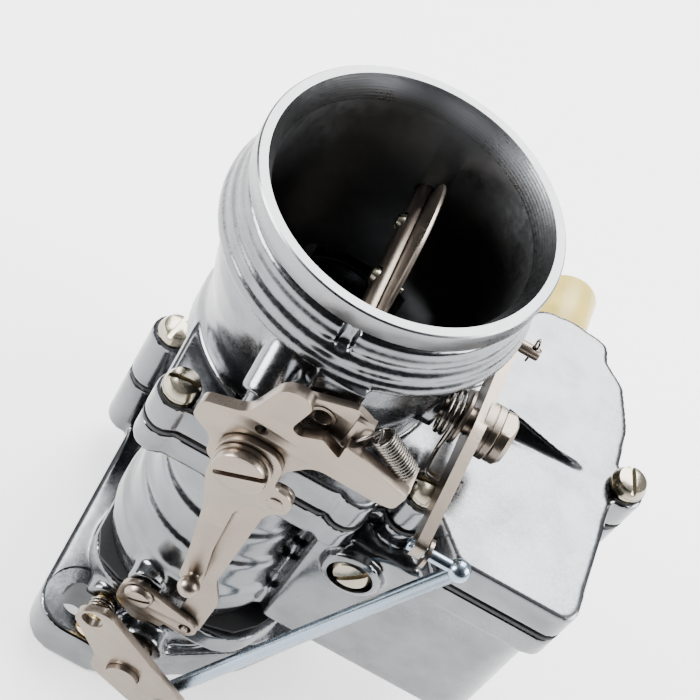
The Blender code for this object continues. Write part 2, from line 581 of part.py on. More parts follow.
def pump():
    """Accelerator pump: lever on a stud, torsion spring, cross pin, link to the throttle, and the plunger."""
    lever = slab(
        [rounded([(14.8, 109.6, 2.4), (15.2, 115.8, 2.6), (-5, 115.2, 6), (-15, 114.8, 6), (-42.6, 104.6, 2.6),
                  (-41.6, 97.8, 2.6), (-29, 101.5, 4), (-17, 103.4, 5), (-4, 104.2, 5)]),
         circle(PIVOT_Y, PIVOT_Z, 3.4), circle(ROD_Y, ROD_Z, 2.4, 14), circle(PLUMB[1] - 0.5, 112.8, 1.7, 14)],
        LEVER_X0, LEVER_X1, "pump_lever", NICKEL, "X",
    )
    washer = rod((32.7, PIVOT_Y, PIVOT_Z), (33.8, PIVOT_Y, PIVOT_Z), 6.4, "pump_spring_washer", NICKEL)
    cut(washer, rod((27, PIVOT_Y, PIVOT_Z), (37, PIVOT_Y, PIVOT_Z), 3.4, sides=18))
    stud = rod((41.4, PIVOT_Y, PIVOT_Z), (44.6, PIVOT_Y, PIVOT_Z), 6.0, "pump_pivot_screw", NICKEL)
    join(stud, rod((42, PIVOT_Y, PIVOT_Z), (32.2, PIVOT_Y, PIVOT_Z), 3.1, sides=18))
    join(stud, rod((33, PIVOT_Y, PIVOT_Z), (26.0, PIVOT_Y, PIVOT_Z), 2.2, sides=12))
    cut(stud, box((41, PIVOT_Y - 9, PIVOT_Z + 5.2), (47, PIVOT_Y + 9, PIVOT_Z + 9)))
    cut(stud, box((41, PIVOT_Y - 9, PIVOT_Z - 9), (47, PIVOT_Y + 9, PIVOT_Z - 5.2)))
    join(lever, rod((37.8, PIVOT_Y, PIVOT_Z), (41.1, PIVOT_Y, PIVOT_Z), 6.3))
    cut(lever, rod((33, PIVOT_Y, PIVOT_Z), (47, PIVOT_Y, PIVOT_Z), 3.4, sides=18))
    coil = helix((29.4, PIVOT_Y, PIVOT_Z), (31.8, PIVOT_Y, PIVOT_Z), 5.2, 2, 16, (0, -1, 0))
    leg = [(31.9, -17.0, 105.4), (32.2, -20.0, 102.0), (39.4, -20.0, 102.0), (39.4, -20.0, 104.4)]
    wire(coil + leg, 0.5, "pump_spring", NICKEL, 0)
    pin_y, pin_z = PLUMB[1] - 0.5, 112.8
    pin = rod((29.4, pin_y, pin_z), (43.4, pin_y, pin_z), 1.5, "pump_cross_pin", NICKEL, sides=12)
    cut(pin, upright(41.6, pin_y, 105, 120, 0.6, sides=10))
    legs = [(41.6, pin_y, 117.0), (41.6, pin_y, 113.0), (41.6, pin_y, 109.4)]
    wire(legs, 0.35, "pump_cotter_pin", ZINC, 1)
    plunger = upright(*PLUMB, 50.0, 109.0, 2.3, "pump_plunger", NICKEL, sides=14)
    join(plunger, box((31.2, 8.4, 108.6), (33.8, 15.8, 116.6)))
    cut(plunger, rod((27, pin_y - 0.4, pin_z), (37, pin_y - 0.4, pin_z), 2.3, sides=14))
    join(plunger, upright(*PLUMB, 58.0, 60.0, 6.4))
    turned(
        [(7.1, 65.5), (7.1, 60.3), (2.6, 60.3), (2.6, 61.6), (5.9, 61.6), (5.9, 65.5)],
        PLUMB, "pump_cup", LEATHER, steps=20, closed=True,
    )
    wire(helix((*PLUMB, 39.9), (*PLUMB, 57.3), 4.6, 6, 10), 0.5, "pump_return_spring", NICKEL, 0)


def pump_link():
    """The zinc rod from the pump lever down to the throttle lever, bent square at both ends."""
    top = Vector((46.6, ROD_Y - 0.6, ROD_Z))
    foot = Vector((LINK_X, -46.2, LINK_Z))
    link = rod((34.4, ROD_Y - 0.6, ROD_Z), top, 1.4, "pump_link", ZINC, sides=12)
    join(link, ball(top, 2.4), ball(foot, 1.9, sides=10))
    join(link, rod(top, foot, 1.8, sides=14), rod(foot, (LINK_X, -52.0, LINK_Z), 1.25, sides=10))
    clip = turned([(3.2, 0.8), (3.2, 0.0), (1.7, 0.0), (1.7, 0.8)], (0, 0), "pump_link_clip", NICKEL, 16, True)
    clip.rotation_euler = (0, pi / 2, 0)
    clip.location = (0.0385, (ROD_Y - 0.6) * MM, ROD_Z * MM)
    return link


def fuel_system():
    """Float, needle and seat in the bowl, the inlet fitting and its shipping cap."""
    float_body = box((48.5, -27.0, 61.0), (66.5, 32.5, 74.0), "float", BRASS)
    float_body.modifiers.new("soft", "BEVEL").width = 0.004
    float_body.modifiers["soft"].segments = 3
    join(float_body, box((58.0, 8.0, 72.5), (FLOAT_X + 1.0, 12.0, 74.6)), box((66.4, 4, 72.5), (70.0, 16, 79.0)))
    join(float_body, across(FLOAT_X, FLOAT_Z - 2.0, 3.0, 17.0, 2.2, sides=12))
    cut(float_body, across(FLOAT_X, FLOAT_Z - 2.0, 0, 20, 1.1, sides=12))
    across(FLOAT_X, FLOAT_Z - 2.0, 1.0, 19.0, 0.9, "float_pin", NICKEL, sides=12)
    hexagon = across(INLET_X, INLET_Z, 46.3, 52.0, 8.2, "fuel_inlet_fitting", BRASS, sides=6)
    join(hexagon, across(INLET_X, INLET_Z, 51.0, 60.0, 4.2, sides=18))
    join(hexagon, across(INLET_X, INLET_Z, 47.0, 39.5, 5.2, sides=18))
    cut(hexagon, across(INLET_X, INLET_Z, 35.0, 65.0, 2.2, sides=12))
    needle = across(INLET_X, INLET_Z, 33.2, 37.2, 1.6, "inlet_needle", BRASS, sides=12)
    join(needle, rod((INLET_X, 37.0, INLET_Z), (INLET_X, 39.0, INLET_Z), 1.6, end_radius=0.4, sides=12))
    cap = turned(
        [(0, 72.0), (6.2, 72.0), (7.2, 70.8), (7.4, 54.0), (6.2, 53.0), (4.6, 53.0), (4.6, 62.0), (0, 62.0)],
        (0, 0), "inlet_cap", CAP_PLASTIC, 24,
    )
    cap.rotation_euler = (-pi / 2, 0, 0)
    cap.location = (INLET_X * MM, 0, INLET_Z * MM)


def metering():
    """Booster venturis with their feed arms, main jets in the bowl wall and the power valve in its floor."""
    for number, side in enumerate((-1, 1), 1):
        y = side * BORE_Y
        profile = [(7.0, 77.0), (6.4, 66.0), (4.6, 66.0), (4.4, 70.0), (5.6, 77.0)]
        ring = turned(profile, (0, y), f"booster_{number}", CASTING, 24, True)
        join(ring, box((5.4, y - 1.8, 69.0), (11.6, y + 1.8, 74.0)))
    for number, y in enumerate((-14.0, -4.0), 1):
        jet = rod((46.4, y, 46.0), (30.0, y, 46.0), 3.0, f"main_jet_{number}", BRASS, sides=12)
        cut(jet, rod((48, y, 46.0), (28, y, 46.0), 0.9, sides=10))
    valve = upright(58.0, -16.0, 41.3, 46.0, 4.6, "power_valve", BRASS, sides=6)
    join(valve, upright(58.0, -16.0, 38.5, 42.0, 2.8, sides=12), upright(58.0, -16.0, 45.0, 53.0, 1.2, sides=10))


def pivots():
    """An empty at the origin of each joint, with the nodes that move on it as its children."""
    joints = {
        "choke_control": ((HUB_X, STAR_FRONT, HUB_Z), ("choke_control_lever", "choke_ball_arm")),
        "choke_valve": ((CHOKE_X, 0, CHOKE_Z), ("choke_shaft", "choke_plate", "choke_plate_screw_1",
                                                "choke_plate_screw_2", "choke_plate_screw_3", "choke_shaft_lever")),
        "fast_idle_link": ((HUB_X + 10.0, -42.4, HUB_Z - 7.4), ("fast_idle_link",)),
        "fast_idle_cam": ((CAM_X, -44.2, CAM_Z), ("fast_idle_cam",)),
        "throttle": ((0, 0, THROTTLE_Z), ("throttle_shaft", "throttle_plate_1", "throttle_plate_2",
                                          "throttle_plate_screw_1a", "throttle_plate_screw_1b",
                                          "throttle_plate_screw_2a", "throttle_plate_screw_2b", "throttle_lever")),
        "pump_link": ((LINK_X, -46.2, LINK_Z), ("pump_link", "pump_link_clip")),
        "pump_lever": ((LEVER_X0 + 1.3, PIVOT_Y, PIVOT_Z), ("pump_lever", "pump_cross_pin", "pump_cotter_pin")),
        "pump_plunger": ((*PLUMB, 60.0), ("pump_plunger", "pump_cup")),
        "float": ((FLOAT_X, 10, FLOAT_Z - 2.0), ("float",)),
        "inlet_needle": ((INLET_X, 35.0, INLET_Z), ("inlet_needle",)),
        "idle_needle_1": ((NEEDLE_X, -40, NEEDLE_Z), ("idle_needle_1",)),
        "idle_needle_2": ((NEEDLE_X, 40, NEEDLE_Z), ("idle_needle_2",)),
        "inlet_cap": ((INLET_X, 53.0, INLET_Z), ("inlet_cap",)),
    }
    for name, (pivot, nodes) in joints.items():
        empty = bpy.data.objects.new(f"pivot_{name}", None)
        empty.location = Vector(pivot) * MM
        empty.empty_display_size = 0.01
        PARTS.objects.link(empty)
        for node in nodes:
            child = bpy.data.objects[node]
            child.parent = empty
            child.matrix_parent_inverse = Matrix.Translation(-empty.location)


air_horn()
paper_gasket()
main_body()
base_gasket()
throttle_body()
fasteners()
choke()
choke_levers()
fast_idle_cam()
throttle()
idle_screws()
pump()
pump_link()
fuel_system()
metering()
pivots()
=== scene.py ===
"""Looks of the two-barrel carburetor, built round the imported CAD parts.

Lengths are in millimetres until a mesh is made.
"""

import json
from math import atan2, cos, pi, radians, sin, tan

import bmesh
import bpy
from mathutils import Matrix, Vector

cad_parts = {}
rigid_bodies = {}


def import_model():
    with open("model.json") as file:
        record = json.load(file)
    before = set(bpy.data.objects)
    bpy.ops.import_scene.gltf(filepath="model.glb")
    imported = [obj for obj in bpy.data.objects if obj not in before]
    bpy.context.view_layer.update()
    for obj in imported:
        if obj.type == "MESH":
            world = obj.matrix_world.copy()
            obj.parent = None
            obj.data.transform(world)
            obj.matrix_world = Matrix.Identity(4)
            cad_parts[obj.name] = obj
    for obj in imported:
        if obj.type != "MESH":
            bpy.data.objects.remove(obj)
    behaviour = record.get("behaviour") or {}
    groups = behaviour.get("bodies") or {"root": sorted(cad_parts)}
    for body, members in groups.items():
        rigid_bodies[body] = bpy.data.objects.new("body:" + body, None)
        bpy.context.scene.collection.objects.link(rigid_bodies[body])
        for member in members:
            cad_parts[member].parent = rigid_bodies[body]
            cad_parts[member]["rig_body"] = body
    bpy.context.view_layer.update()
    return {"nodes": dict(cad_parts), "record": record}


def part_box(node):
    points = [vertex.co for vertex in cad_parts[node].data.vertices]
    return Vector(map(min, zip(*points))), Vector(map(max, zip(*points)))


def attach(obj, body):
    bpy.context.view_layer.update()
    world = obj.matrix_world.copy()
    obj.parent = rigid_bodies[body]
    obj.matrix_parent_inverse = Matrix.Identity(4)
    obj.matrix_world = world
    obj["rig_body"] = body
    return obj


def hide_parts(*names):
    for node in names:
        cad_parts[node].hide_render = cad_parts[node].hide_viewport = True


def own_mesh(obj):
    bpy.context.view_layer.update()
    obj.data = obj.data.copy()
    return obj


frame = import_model()
NODES = frame["nodes"]
MM = 0.001

for leftover in ("Cube", "Light", "Camera"):
    if leftover in bpy.data.objects:
        bpy.data.objects.remove(bpy.data.objects[leftover])

HEIGHT, BORE_Y, THROTTLE_Z = 150.0, 17.5, 14.0
HUB_X, HUB_Z = -3.5, 104.5
CHOKE_X, CHOKE_Z = 4.8, 123.0
PIVOT_Y, PIVOT_Z = -10.5, 109.5
INLET_X, INLET_Z = 54.0, 73.0
PLUG_X, PLUG_Z = 31.0, 71.6
LEVER_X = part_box("pump_lever")[0][0] / MM
PLUMB = (LEVER_X - 2.9, 13.0)
COVER_BOTTOM, COVER_TOP, BODY_TOP, BODY_BOTTOM, BASE_TOP = 87.6, 96.6, 86.0, 29.6, 28.0
COVER_SCREWS = ((-21.7, -31.0), (-21.7, 31.0), (34.5, -23.5), (33.5, 27.0), (76.3, 5.0))
COVER_LOBES = ((21.7, -30.5), (21.7, 30.5))
BASE_SCREW = (-28.2, 19.0)
LOWER_SCREWS = ((22.0, -21.5), (22.0, 21.5))
STUDS = ((-17.0, -37.3), (-17.0, 37.3), (29.6, 0.0))


# ---------------------------------------------------------------- materials


def material(name, colour, metallic, roughness, grain=0.04, grain_scale=900.0, bump=0.02, brush=None,
             wear=0.0, rings=None, ripple=0.0):
    """A Principled material whose roughness, tone and bump vary with noise.

    brush is an axis the scratches run along, rings adds turned grooves, and ripple a slow wave.
    """
    made = bpy.data.materials.new(name)
    made.use_nodes = True
    nodes, links = made.node_tree.nodes, made.node_tree.links
    shader = nodes["Principled BSDF"]
    shader.inputs["Metallic"].default_value = metallic
    place = nodes.new("ShaderNodeTexCoord")

    def noise(scale, detail, stretch=(1, 1, 1)):
        mapping = nodes.new("ShaderNodeMapping")
        mapping.inputs["Scale"].default_value = stretch
        links.new(place.outputs["Object"], mapping.inputs["Vector"])
        texture = nodes.new("ShaderNodeTexNoise")
        texture.inputs["Scale"].default_value = scale
        texture.inputs["Detail"].default_value = detail
        links.new(mapping.outputs["Vector"], texture.inputs["Vector"])
        return texture.outputs["Fac"]

    def spread(value, low, high, first=0.3, last=0.7):
        ramp = nodes.new("ShaderNodeMapRange")
        for key, number in (("From Min", first), ("From Max", last), ("To Min", low), ("To Max", high)):
            ramp.inputs[key].default_value = number
        links.new(value, ramp.inputs["Value"])
        return ramp.outputs["Result"]

    cloudy = noise(45.0, 4.0)
    stretch = {None: (1, 1, 1), "X": (0.03, 1, 1), "Y": (1, 0.03, 1), "Z": (1, 1, 0.03)}[brush]
    fine = noise(grain_scale, 3.0, stretch)
    rough = nodes.new("ShaderNodeMath")
    rough.operation = "ADD"
    links.new(spread(cloudy, roughness - grain, roughness + grain), rough.inputs[0])
    links.new(spread(fine, -grain * 0.6, grain * 0.6), rough.inputs[1])
    links.new(rough.outputs[0], shader.inputs["Roughness"])
    tone = nodes.new("ShaderNodeMix")
    tone.data_type = "RGBA"
    tone.inputs["A"].default_value = (*colour, 1.0)
    tone.inputs["B"].default_value = (*[c * (1 - wear) for c in colour], 1.0)
    links.new(spread(noise(110.0, 6.0), 0.0, 1.0, 0.45, 0.75), tone.inputs["Factor"])
    links.new(tone.outputs["Result"], shader.inputs["Base Color"])
    height = fine
    if rings:
        wave = nodes.new("ShaderNodeTexWave")
        wave.wave_type, wave.bands_direction = "BANDS", "Z"
        wave.inputs["Scale"].default_value = rings
        wave.inputs["Distortion"].default_value = 0.6
        links.new(place.outputs["Object"], wave.inputs["Vector"])
        both = nodes.new("ShaderNodeMath")
        both.operation = "ADD"
        links.new(wave.outputs["Fac"], both.inputs[0])
        links.new(fine, both.inputs[1])
        height = both.outputs[0]
    relief = nodes.new("ShaderNodeBump")
    relief.inputs["Strength"].default_value = bump
    relief.inputs["Distance"].default_value = 0.0002
    links.new(height, relief.inputs["Height"])
    if ripple:
        waves = nodes.new("ShaderNodeBump")
        waves.inputs["Strength"].default_value = ripple
        waves.inputs["Distance"].default_value = 0.001
        links.new(noise(70.0, 2.0), waves.inputs["Height"])
        links.new(waves.outputs["Normal"], relief.inputs["Normal"])
    links.new(relief.outputs["Normal"], shader.inputs["Normal"])
    return made


CASTING = material("polished_casting", (0.175, 0.179, 0.187), 1.0, 0.22, 0.08, 1400.0, 0.06, wear=0.28,
                   ripple=0.30)
MACHINED = material("machined_lip", (0.23, 0.234, 0.242), 1.0, 0.30, 0.05, 1200.0, 0.05, wear=0.08,
                    rings=500.0)
DARK_BORE = material("bore", (0.22, 0.225, 0.235), 1.0, 0.36, 0.06, 500.0, 0.02, wear=0.15)
NICKEL = material("satin_nickel", (0.245, 0.205, 0.168), 1.0, 0.32, 0.06, 1800.0, 0.10, wear=0.12)
SCREW_METAL = material("screw_nickel", (0.35, 0.315, 0.24), 1.0, 0.22, 0.05, 1500.0, 0.06, wear=0.12)
ZINC = material("zinc_plate", (0.28, 0.35, 0.42), 1.0, 0.26, 0.05, 1500.0, 0.08, wear=0.08)
BRASS = material("brass", (0.74, 0.55, 0.26), 1.0, 0.28, 0.05, 1500.0, 0.06, wear=0.1)
SPRING_STEEL = material("spring_steel", (0.22, 0.20, 0.18), 1.0, 0.26, 0.05, 1500.0, 0.06, wear=0.1)
GASKET_BLACK = material("gasket_black", (0.018, 0.018, 0.02), 0.0, 0.75, 0.08, 1500.0, 0.2)
CAP_YELLOW = material("cap_yellow", (0.78, 0.62, 0.16), 0.0, 0.34, 0.05, 700.0, 0.05, wear=0.10)
cap_shader = CAP_YELLOW.node_tree.nodes["Principled BSDF"]
cap_shader.inputs["Transmission Weight"].default_value = 0.35
cap_shader.inputs["Subsurface Weight"].default_value = 0.3
cap_shader.inputs["Subsurface Radius"].default_value = (0.004, 0.003, 0.001)
LEATHER = material("pump_leather_brown", (0.12, 0.065, 0.035), 0.0, 0.75, 0.08, 900.0, 0.3)


# ---------------------------------------------------------------- shapes


def lathe(profile, steps=96, matrix=None):
    """A (radius, height) profile turned about Z, closed at the axis or back on its own start."""
    matrix = matrix or Matrix()
    bm = bmesh.new()
    rings = []
    for r, z in profile:
        count = steps if r > 1e-6 else 1
        angles = [2 * pi * i / steps for i in range(count)]
        rings.append([bm.verts.new(matrix @ Vector((r * cos(a), r * sin(a), z))) for a in angles])
    pairs = list(zip(rings, rings[1:]))
    if len(rings[0]) > 1:
        pairs.append((rings[-1], rings[0]))
    for upper, lower in pairs:
        for i in range(steps):
            j = (i + 1) % steps
            quad = [upper[i % len(upper)], lower[i % len(lower)], lower[j % len(lower)],
                    upper[j % len(upper)]]
            corners = list(dict.fromkeys(quad))
            if len(corners) > 2:
                bm.faces.new(corners)
    bmesh.ops.recalc_face_normals(bm, faces=bm.faces)
    return bm


def along(start, end):
    """The matrix that puts Z along the line from start to end, with its origin at start."""
    start, end = Vector(start), Vector(end)
    return Matrix.Translation(start) @ (end - start).to_track_quat("Z", "Y").to_matrix().to_4x4()


def peg(start, end, radius, end_radius=None, steps=48):
    """A round bar from start to end, which may taper."""
    length = (Vector(end) - Vector(start)).length
    end_radius = radius if end_radius is None else end_radius
    return lathe([(0, length), (end_radius, length), (radius, 0), (0, 0)], steps, along(start, end))


def stud(x, y, z0, z1, radius, steps=48):
    """A round bar along Z."""
    return peg((x, y, z0), (x, y, z1), radius, steps=steps)


def cross(x, z, y0, y1, radius, steps=48):
    """A round bar along Y."""
    return peg((x, y0, z), (x, y1, z), radius, steps=steps)


def ball(centre, radius, steps=32):
    profile = [(radius * sin(pi * i / 16), radius * cos(pi * i / 16)) for i in range(17)]
    profile[0], profile[-1] = (0, radius), (0, -radius)
    return lathe(profile, steps, Matrix.Translation(centre))


def block(lo, hi):
    bm = bmesh.new()
    middle = Vector([(a + b) / 2 for a, b in zip(lo, hi)])
    size = [b - a for a, b in zip(lo, hi)]
    bmesh.ops.create_cube(bm, size=1.0, matrix=Matrix.Translation(middle) @ Matrix.Diagonal((*size, 1.0)))
    return bm


def hull(points):
    """The convex shape round points."""
    bm = bmesh.new()
    for point in points:
        bm.verts.new(point)
    bmesh.ops.convex_hull(bm, input=bm.verts)
    bmesh.ops.recalc_face_normals(bm, faces=bm.faces)
    return bm


def corner_arc(before, corner, after, radius, steps=8):
    """The points of the arc that rounds one corner of an outline."""
    if not radius:
        return [corner]
    a, b = Vector(before) - Vector(corner), Vector(after) - Vector(corner)
    half = a.angle(b) / 2
    reach = min(radius / tan(half), 0.49 * a.length, 0.49 * b.length)
    radius = reach * tan(half)
    middle = Vector(corner) + (a.normalized() + b.normalized()).normalized() * (radius / sin(half))
    first = Vector(corner) + a.normalized() * reach - middle
    last = Vector(corner) + b.normalized() * reach - middle
    sweep = atan2(first.x * last.y - first.y * last.x, first.dot(last))
    start = atan2(first.y, first.x)
    angles = [start + sweep * i / steps for i in range(steps + 1)]
    return [(middle.x + radius * cos(angle), middle.y + radius * sin(angle)) for angle in angles]


def rounded(corners, steps=8):
    """An outline from (x, y, radius) corners."""
    points = []
    for i, (x, y, radius) in enumerate(corners):
        before, after = corners[i - 1], corners[(i + 1) % len(corners)]
        points += corner_arc(before[:2], (x, y), after[:2], radius, steps)
    return points


def circle(x, y, radius, sides=40):
    angles = [2 * pi * i / sides for i in range(sides)]
    return [(x + radius * cos(angle), y + radius * sin(angle)) for angle in angles]


def slab(loops, low, high, facing="Z"):
    """Flat stock cut to an outline, with any further loops as holes.

    Facing Y, the loops are (x, z); facing X, (y, z).
    """
    curve = bpy.data.curves.new("outline", "CURVE")
    curve.dimensions, curve.fill_mode, curve.extrude = "2D", "BOTH", (high - low) / 2
    for loop in loops:
        spline = curve.splines.new("POLY")
        spline.points.add(len(loop) - 1)
        for point, (x, y) in zip(spline.points, loop):
            point.co = (x, y, 0.0, 1.0)
        spline.use_cyclic_u = True
    holder = bpy.data.objects.new("outline", curve)
    bpy.context.scene.collection.objects.link(holder)
    bpy.context.view_layer.update()
    flat = bpy.data.meshes.new_from_object(holder.evaluated_get(bpy.context.evaluated_depsgraph_get()))
    bpy.data.objects.remove(holder)
    bm = bmesh.new()
    bm.from_mesh(flat)
    bpy.data.meshes.remove(flat)
    bmesh.ops.remove_doubles(bm, verts=bm.verts, dist=1e-3)
    middle = (low + high) / 2
    turn = {
        "Z": Matrix.Translation((0, 0, middle)),
        "Y": Matrix(((1, 0, 0, 0), (0, 0, 1, middle), (0, 1, 0, 0), (0, 0, 0, 1))),
        "X": Matrix(((0, 0, 1, middle), (1, 0, 0, 0), (0, 1, 0, 0), (0, 0, 0, 1))),
    }[facing]
    bmesh.ops.transform(bm, matrix=turn, verts=bm.verts)
    bmesh.ops.recalc_face_normals(bm, faces=bm.faces)
    return bm


def merged(shapes):
    """One mesh of several shapes that may overlap."""
    bm = bmesh.new()
    for shape in shapes:
        mesh = bpy.data.meshes.new("shape")
        shape.to_mesh(mesh)
        shape.free()
        bm.from_mesh(mesh)
        bpy.data.meshes.remove(mesh)
    return bm


def as_object(bm, name):
    """A mesh object, in metres, of a shape in millimetres."""
    bmesh.ops.scale(bm, vec=(MM, MM, MM), verts=bm.verts)
    mesh = bpy.data.meshes.new(name)
    bm.to_mesh(mesh)
    bm.free()
    obj = bpy.data.objects.new(name, mesh)
    bpy.context.scene.collection.objects.link(obj)
    return obj


def applied(obj):
    """obj with its modifiers turned into its mesh."""
    bpy.context.view_layer.update()
    mesh = bpy.data.meshes.new_from_object(obj.evaluated_get(bpy.context.evaluated_depsgraph_get()))
    obj.modifiers.clear()
    obj.data = mesh
    return obj


def carve(obj, operation, shapes):
    """Joins shapes to obj, or cuts them from it, one after the other."""
    for shape in shapes:
        tool = as_object(shape, "tool")
        modifier = obj.modifiers.new("carve", "BOOLEAN")
        modifier.operation, modifier.solver, modifier.object = operation, "MANIFOLD", tool
        applied(obj)
        bpy.data.objects.remove(tool)
    return obj


def soften(obj, width=0.2, segments=2, angle=40):
    """A small round on every sharp edge."""
    bevel = obj.modifiers.new("soften", "BEVEL")
    bevel.width, bevel.segments, bevel.angle_limit = width * MM, segments, radians(angle)
    bevel.limit_method = "ANGLE"
    bevel.use_clamp_overlap = True
    return applied(obj)


def cast(name, shapes, voxel, rounds, adds=(), cuts=()):
    """A casting: shapes run together with soft fillets, then crisp machined faces are added and cut."""
    obj = as_object(merged(shapes), name)
    remesh = obj.modifiers.new("melt", "REMESH")
    remesh.mode, remesh.voxel_size = "VOXEL", voxel * MM * 1
    smooth = obj.modifiers.new("round", "SMOOTH")
    smooth.factor, smooth.iterations = 0.5, rounds
    applied(obj)
    carve(obj, "UNION", adds)
    return carve(obj, "DIFFERENCE", cuts)


def piece(obj, look, slot, *nodes, angle=35):
    """Gives obj its finish and puts it in place of CAD nodes, moving with their body."""
    if look is not None:
        obj.data.materials.clear()
        obj.data.materials.append(look)
    if obj.type == "MESH":
        obj.data.shade_smooth()
        obj.data.set_sharp_from_angle(angle=radians(angle))
    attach(obj, NODES[nodes[0]]["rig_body"])
    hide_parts(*nodes)
    return obj


def wire(name, points, radius, look, slot, node):
    """A bent round wire through points, smooth between them."""
    curve = bpy.data.curves.new(name, "CURVE")
    curve.dimensions = "3D"
    curve.bevel_depth = radius * MM
    curve.bevel_resolution = 4
    curve.use_fill_caps = True
    spline = curve.splines.new("POLY")
    spline.points.add(len(points) - 1)
    for point, co in zip(spline.points, points):
        point.co = (co[0] * MM, co[1] * MM, co[2] * MM, 1.0)
    holder = bpy.data.objects.new(name, curve)
    bpy.context.scene.collection.objects.link(holder)
    bpy.context.view_layer.update()
    mesh = bpy.data.meshes.new_from_object(holder.evaluated_get(bpy.context.evaluated_depsgraph_get()))
    bpy.data.objects.remove(holder)
    obj = bpy.data.objects.new(name, mesh)
    bpy.context.scene.collection.objects.link(obj)
    return piece(obj, look, slot, node, angle=60)


def flowing(points, per=6):
    """A Catmull-Rom line through points."""
    points = [Vector(p) for p in points]
    ends = [points[0] * 2 - points[1], *points, points[-1] * 2 - points[-2]]
    line = []
    for a, b, c, d in zip(ends, ends[1:], ends[2:], ends[3:]):
        for i in range(per):
            t = i / per
            bend, twist = 2 * a - 5 * b + 4 * c - d, 3 * b - a - 3 * c + d
            line.append(0.5 * (2 * b + (c - a) * t + bend * t * t + twist * t ** 3))
    return line + [points[-1]]


def helix(start, end, radius, turns, per_turn=28, toward=(1, 0, 0)):
    """A coil from start to end, whose last point lies toward the given side."""
    start, end = Vector(start), Vector(end)
    axis = (end - start).normalized()
    side = Vector(toward)
    side = (side - axis * side.dot(axis)).normalized()
    other = axis.cross(side)
    count = round(turns * per_turn)
    points = []
    for i in range(count + 1):
        angle = 2 * pi * (i - count) / per_turn
        points.append(start.lerp(end, i / count) + radius * (cos(angle) * side + sin(angle) * other))
    return points


def screw(name, base, direction, head, height, shank, length, look, slot, *nodes, washer=0.0, turn=0.0,
          dome=0.25):
    """A slotted screw: fillister head with a soft crown, a lock washer under it and a threaded shank."""
    base, up = Vector(base), Vector(direction).normalized()
    place = along(base, base + up)
    profile = [(0, height), (head * 0.45, height - 0.02 * head), (head * 0.78, height - dome * 0.28 * head),
               (head * 0.94, height - dome * head), (head, height - dome * 1.7 * head), (head, 0.25),
               (head - 0.25, 0)]
    if washer:
        profile += [(shank + 0.1, -0.05), (shank + 0.1, -0.2), (washer - 0.2, -0.25), (washer, -0.45),
                    (washer, -1.1), (washer - 0.2, -1.3)]
    depth = -1.35 if washer else -0.1
    count = int((length + depth - 1) / 0.8)
    for i in range(count):
        profile += [(shank, depth - 0.8 * i - 0.1), (shank - 0.28, depth - 0.8 * i - 0.5)]
    profile += [(shank - 0.4, -length), (0, -length)]
    body = as_object(lathe(profile, 40, place), name)
    slot_cut = block((-head * 1.2, -0.13 * head, height - 0.42 * height),
                     (head * 1.2, 0.13 * head, height + 1))
    bmesh.ops.transform(slot_cut, matrix=place @ Matrix.Rotation(turn, 4, "Z"), verts=slot_cut.verts)
    carve(body, "DIFFERENCE", [slot_cut])
    return piece(body, look, slot, *nodes)


def ring_arc(profile, centre, start, end, steps=120):
    """A closed (radius, height) outline swept about Z through part of a turn, with flat ends."""
    bm = bmesh.new()
    rings = []
    for i in range(steps + 1):
        a = start + (end - start) * i / steps
        rings.append([bm.verts.new((centre[0] + r * cos(a), centre[1] + r * sin(a), z)) for r, z in profile])
    for first, second in zip(rings, rings[1:]):
        for i in range(len(profile)):
            j = (i + 1) % len(profile)
            bm.faces.new((first[i], first[j], second[j], second[i]))
    bm.faces.new(rings[0][::-1])
    bm.faces.new(rings[-1])
    bmesh.ops.recalc_face_normals(bm, faces=bm.faces)
    return bm


# ---------------------------------------------------------------- castings


COVER_CORNERS = [
    (-25.6, -31.0, 0), (-22.0, -34.6, 2), (17.0, -34.6, 3), (30.0, -24.8, 3), (40.0, -27.0, 2),
    (47.0, -35.0, 4), (75.6, -35.0, 4), (74.6, 0.0, 8), (72.6, 21.0, 6), (68.6, 31.5, 5),
    (63.0, 36.0, 2), (62.0, 41.0, 4), (52.0, 42.2, 6), (44.0, 41.0, 6), (37.5, 31.0, 6),
    (20.0, 34.6, 4), (-22.0, 34.6, 2), (-25.6, 31.0, 0),
]


def lobed(low, high, lobe):
    """The cover's outline as a plate, with a round lobe at each screw."""
    plate = [slab([rounded(COVER_CORNERS)], low, high)]
    return plate + [stud(x, y, low, high, lobe) for x, y in (*COVER_SCREWS, *COVER_LOBES)]


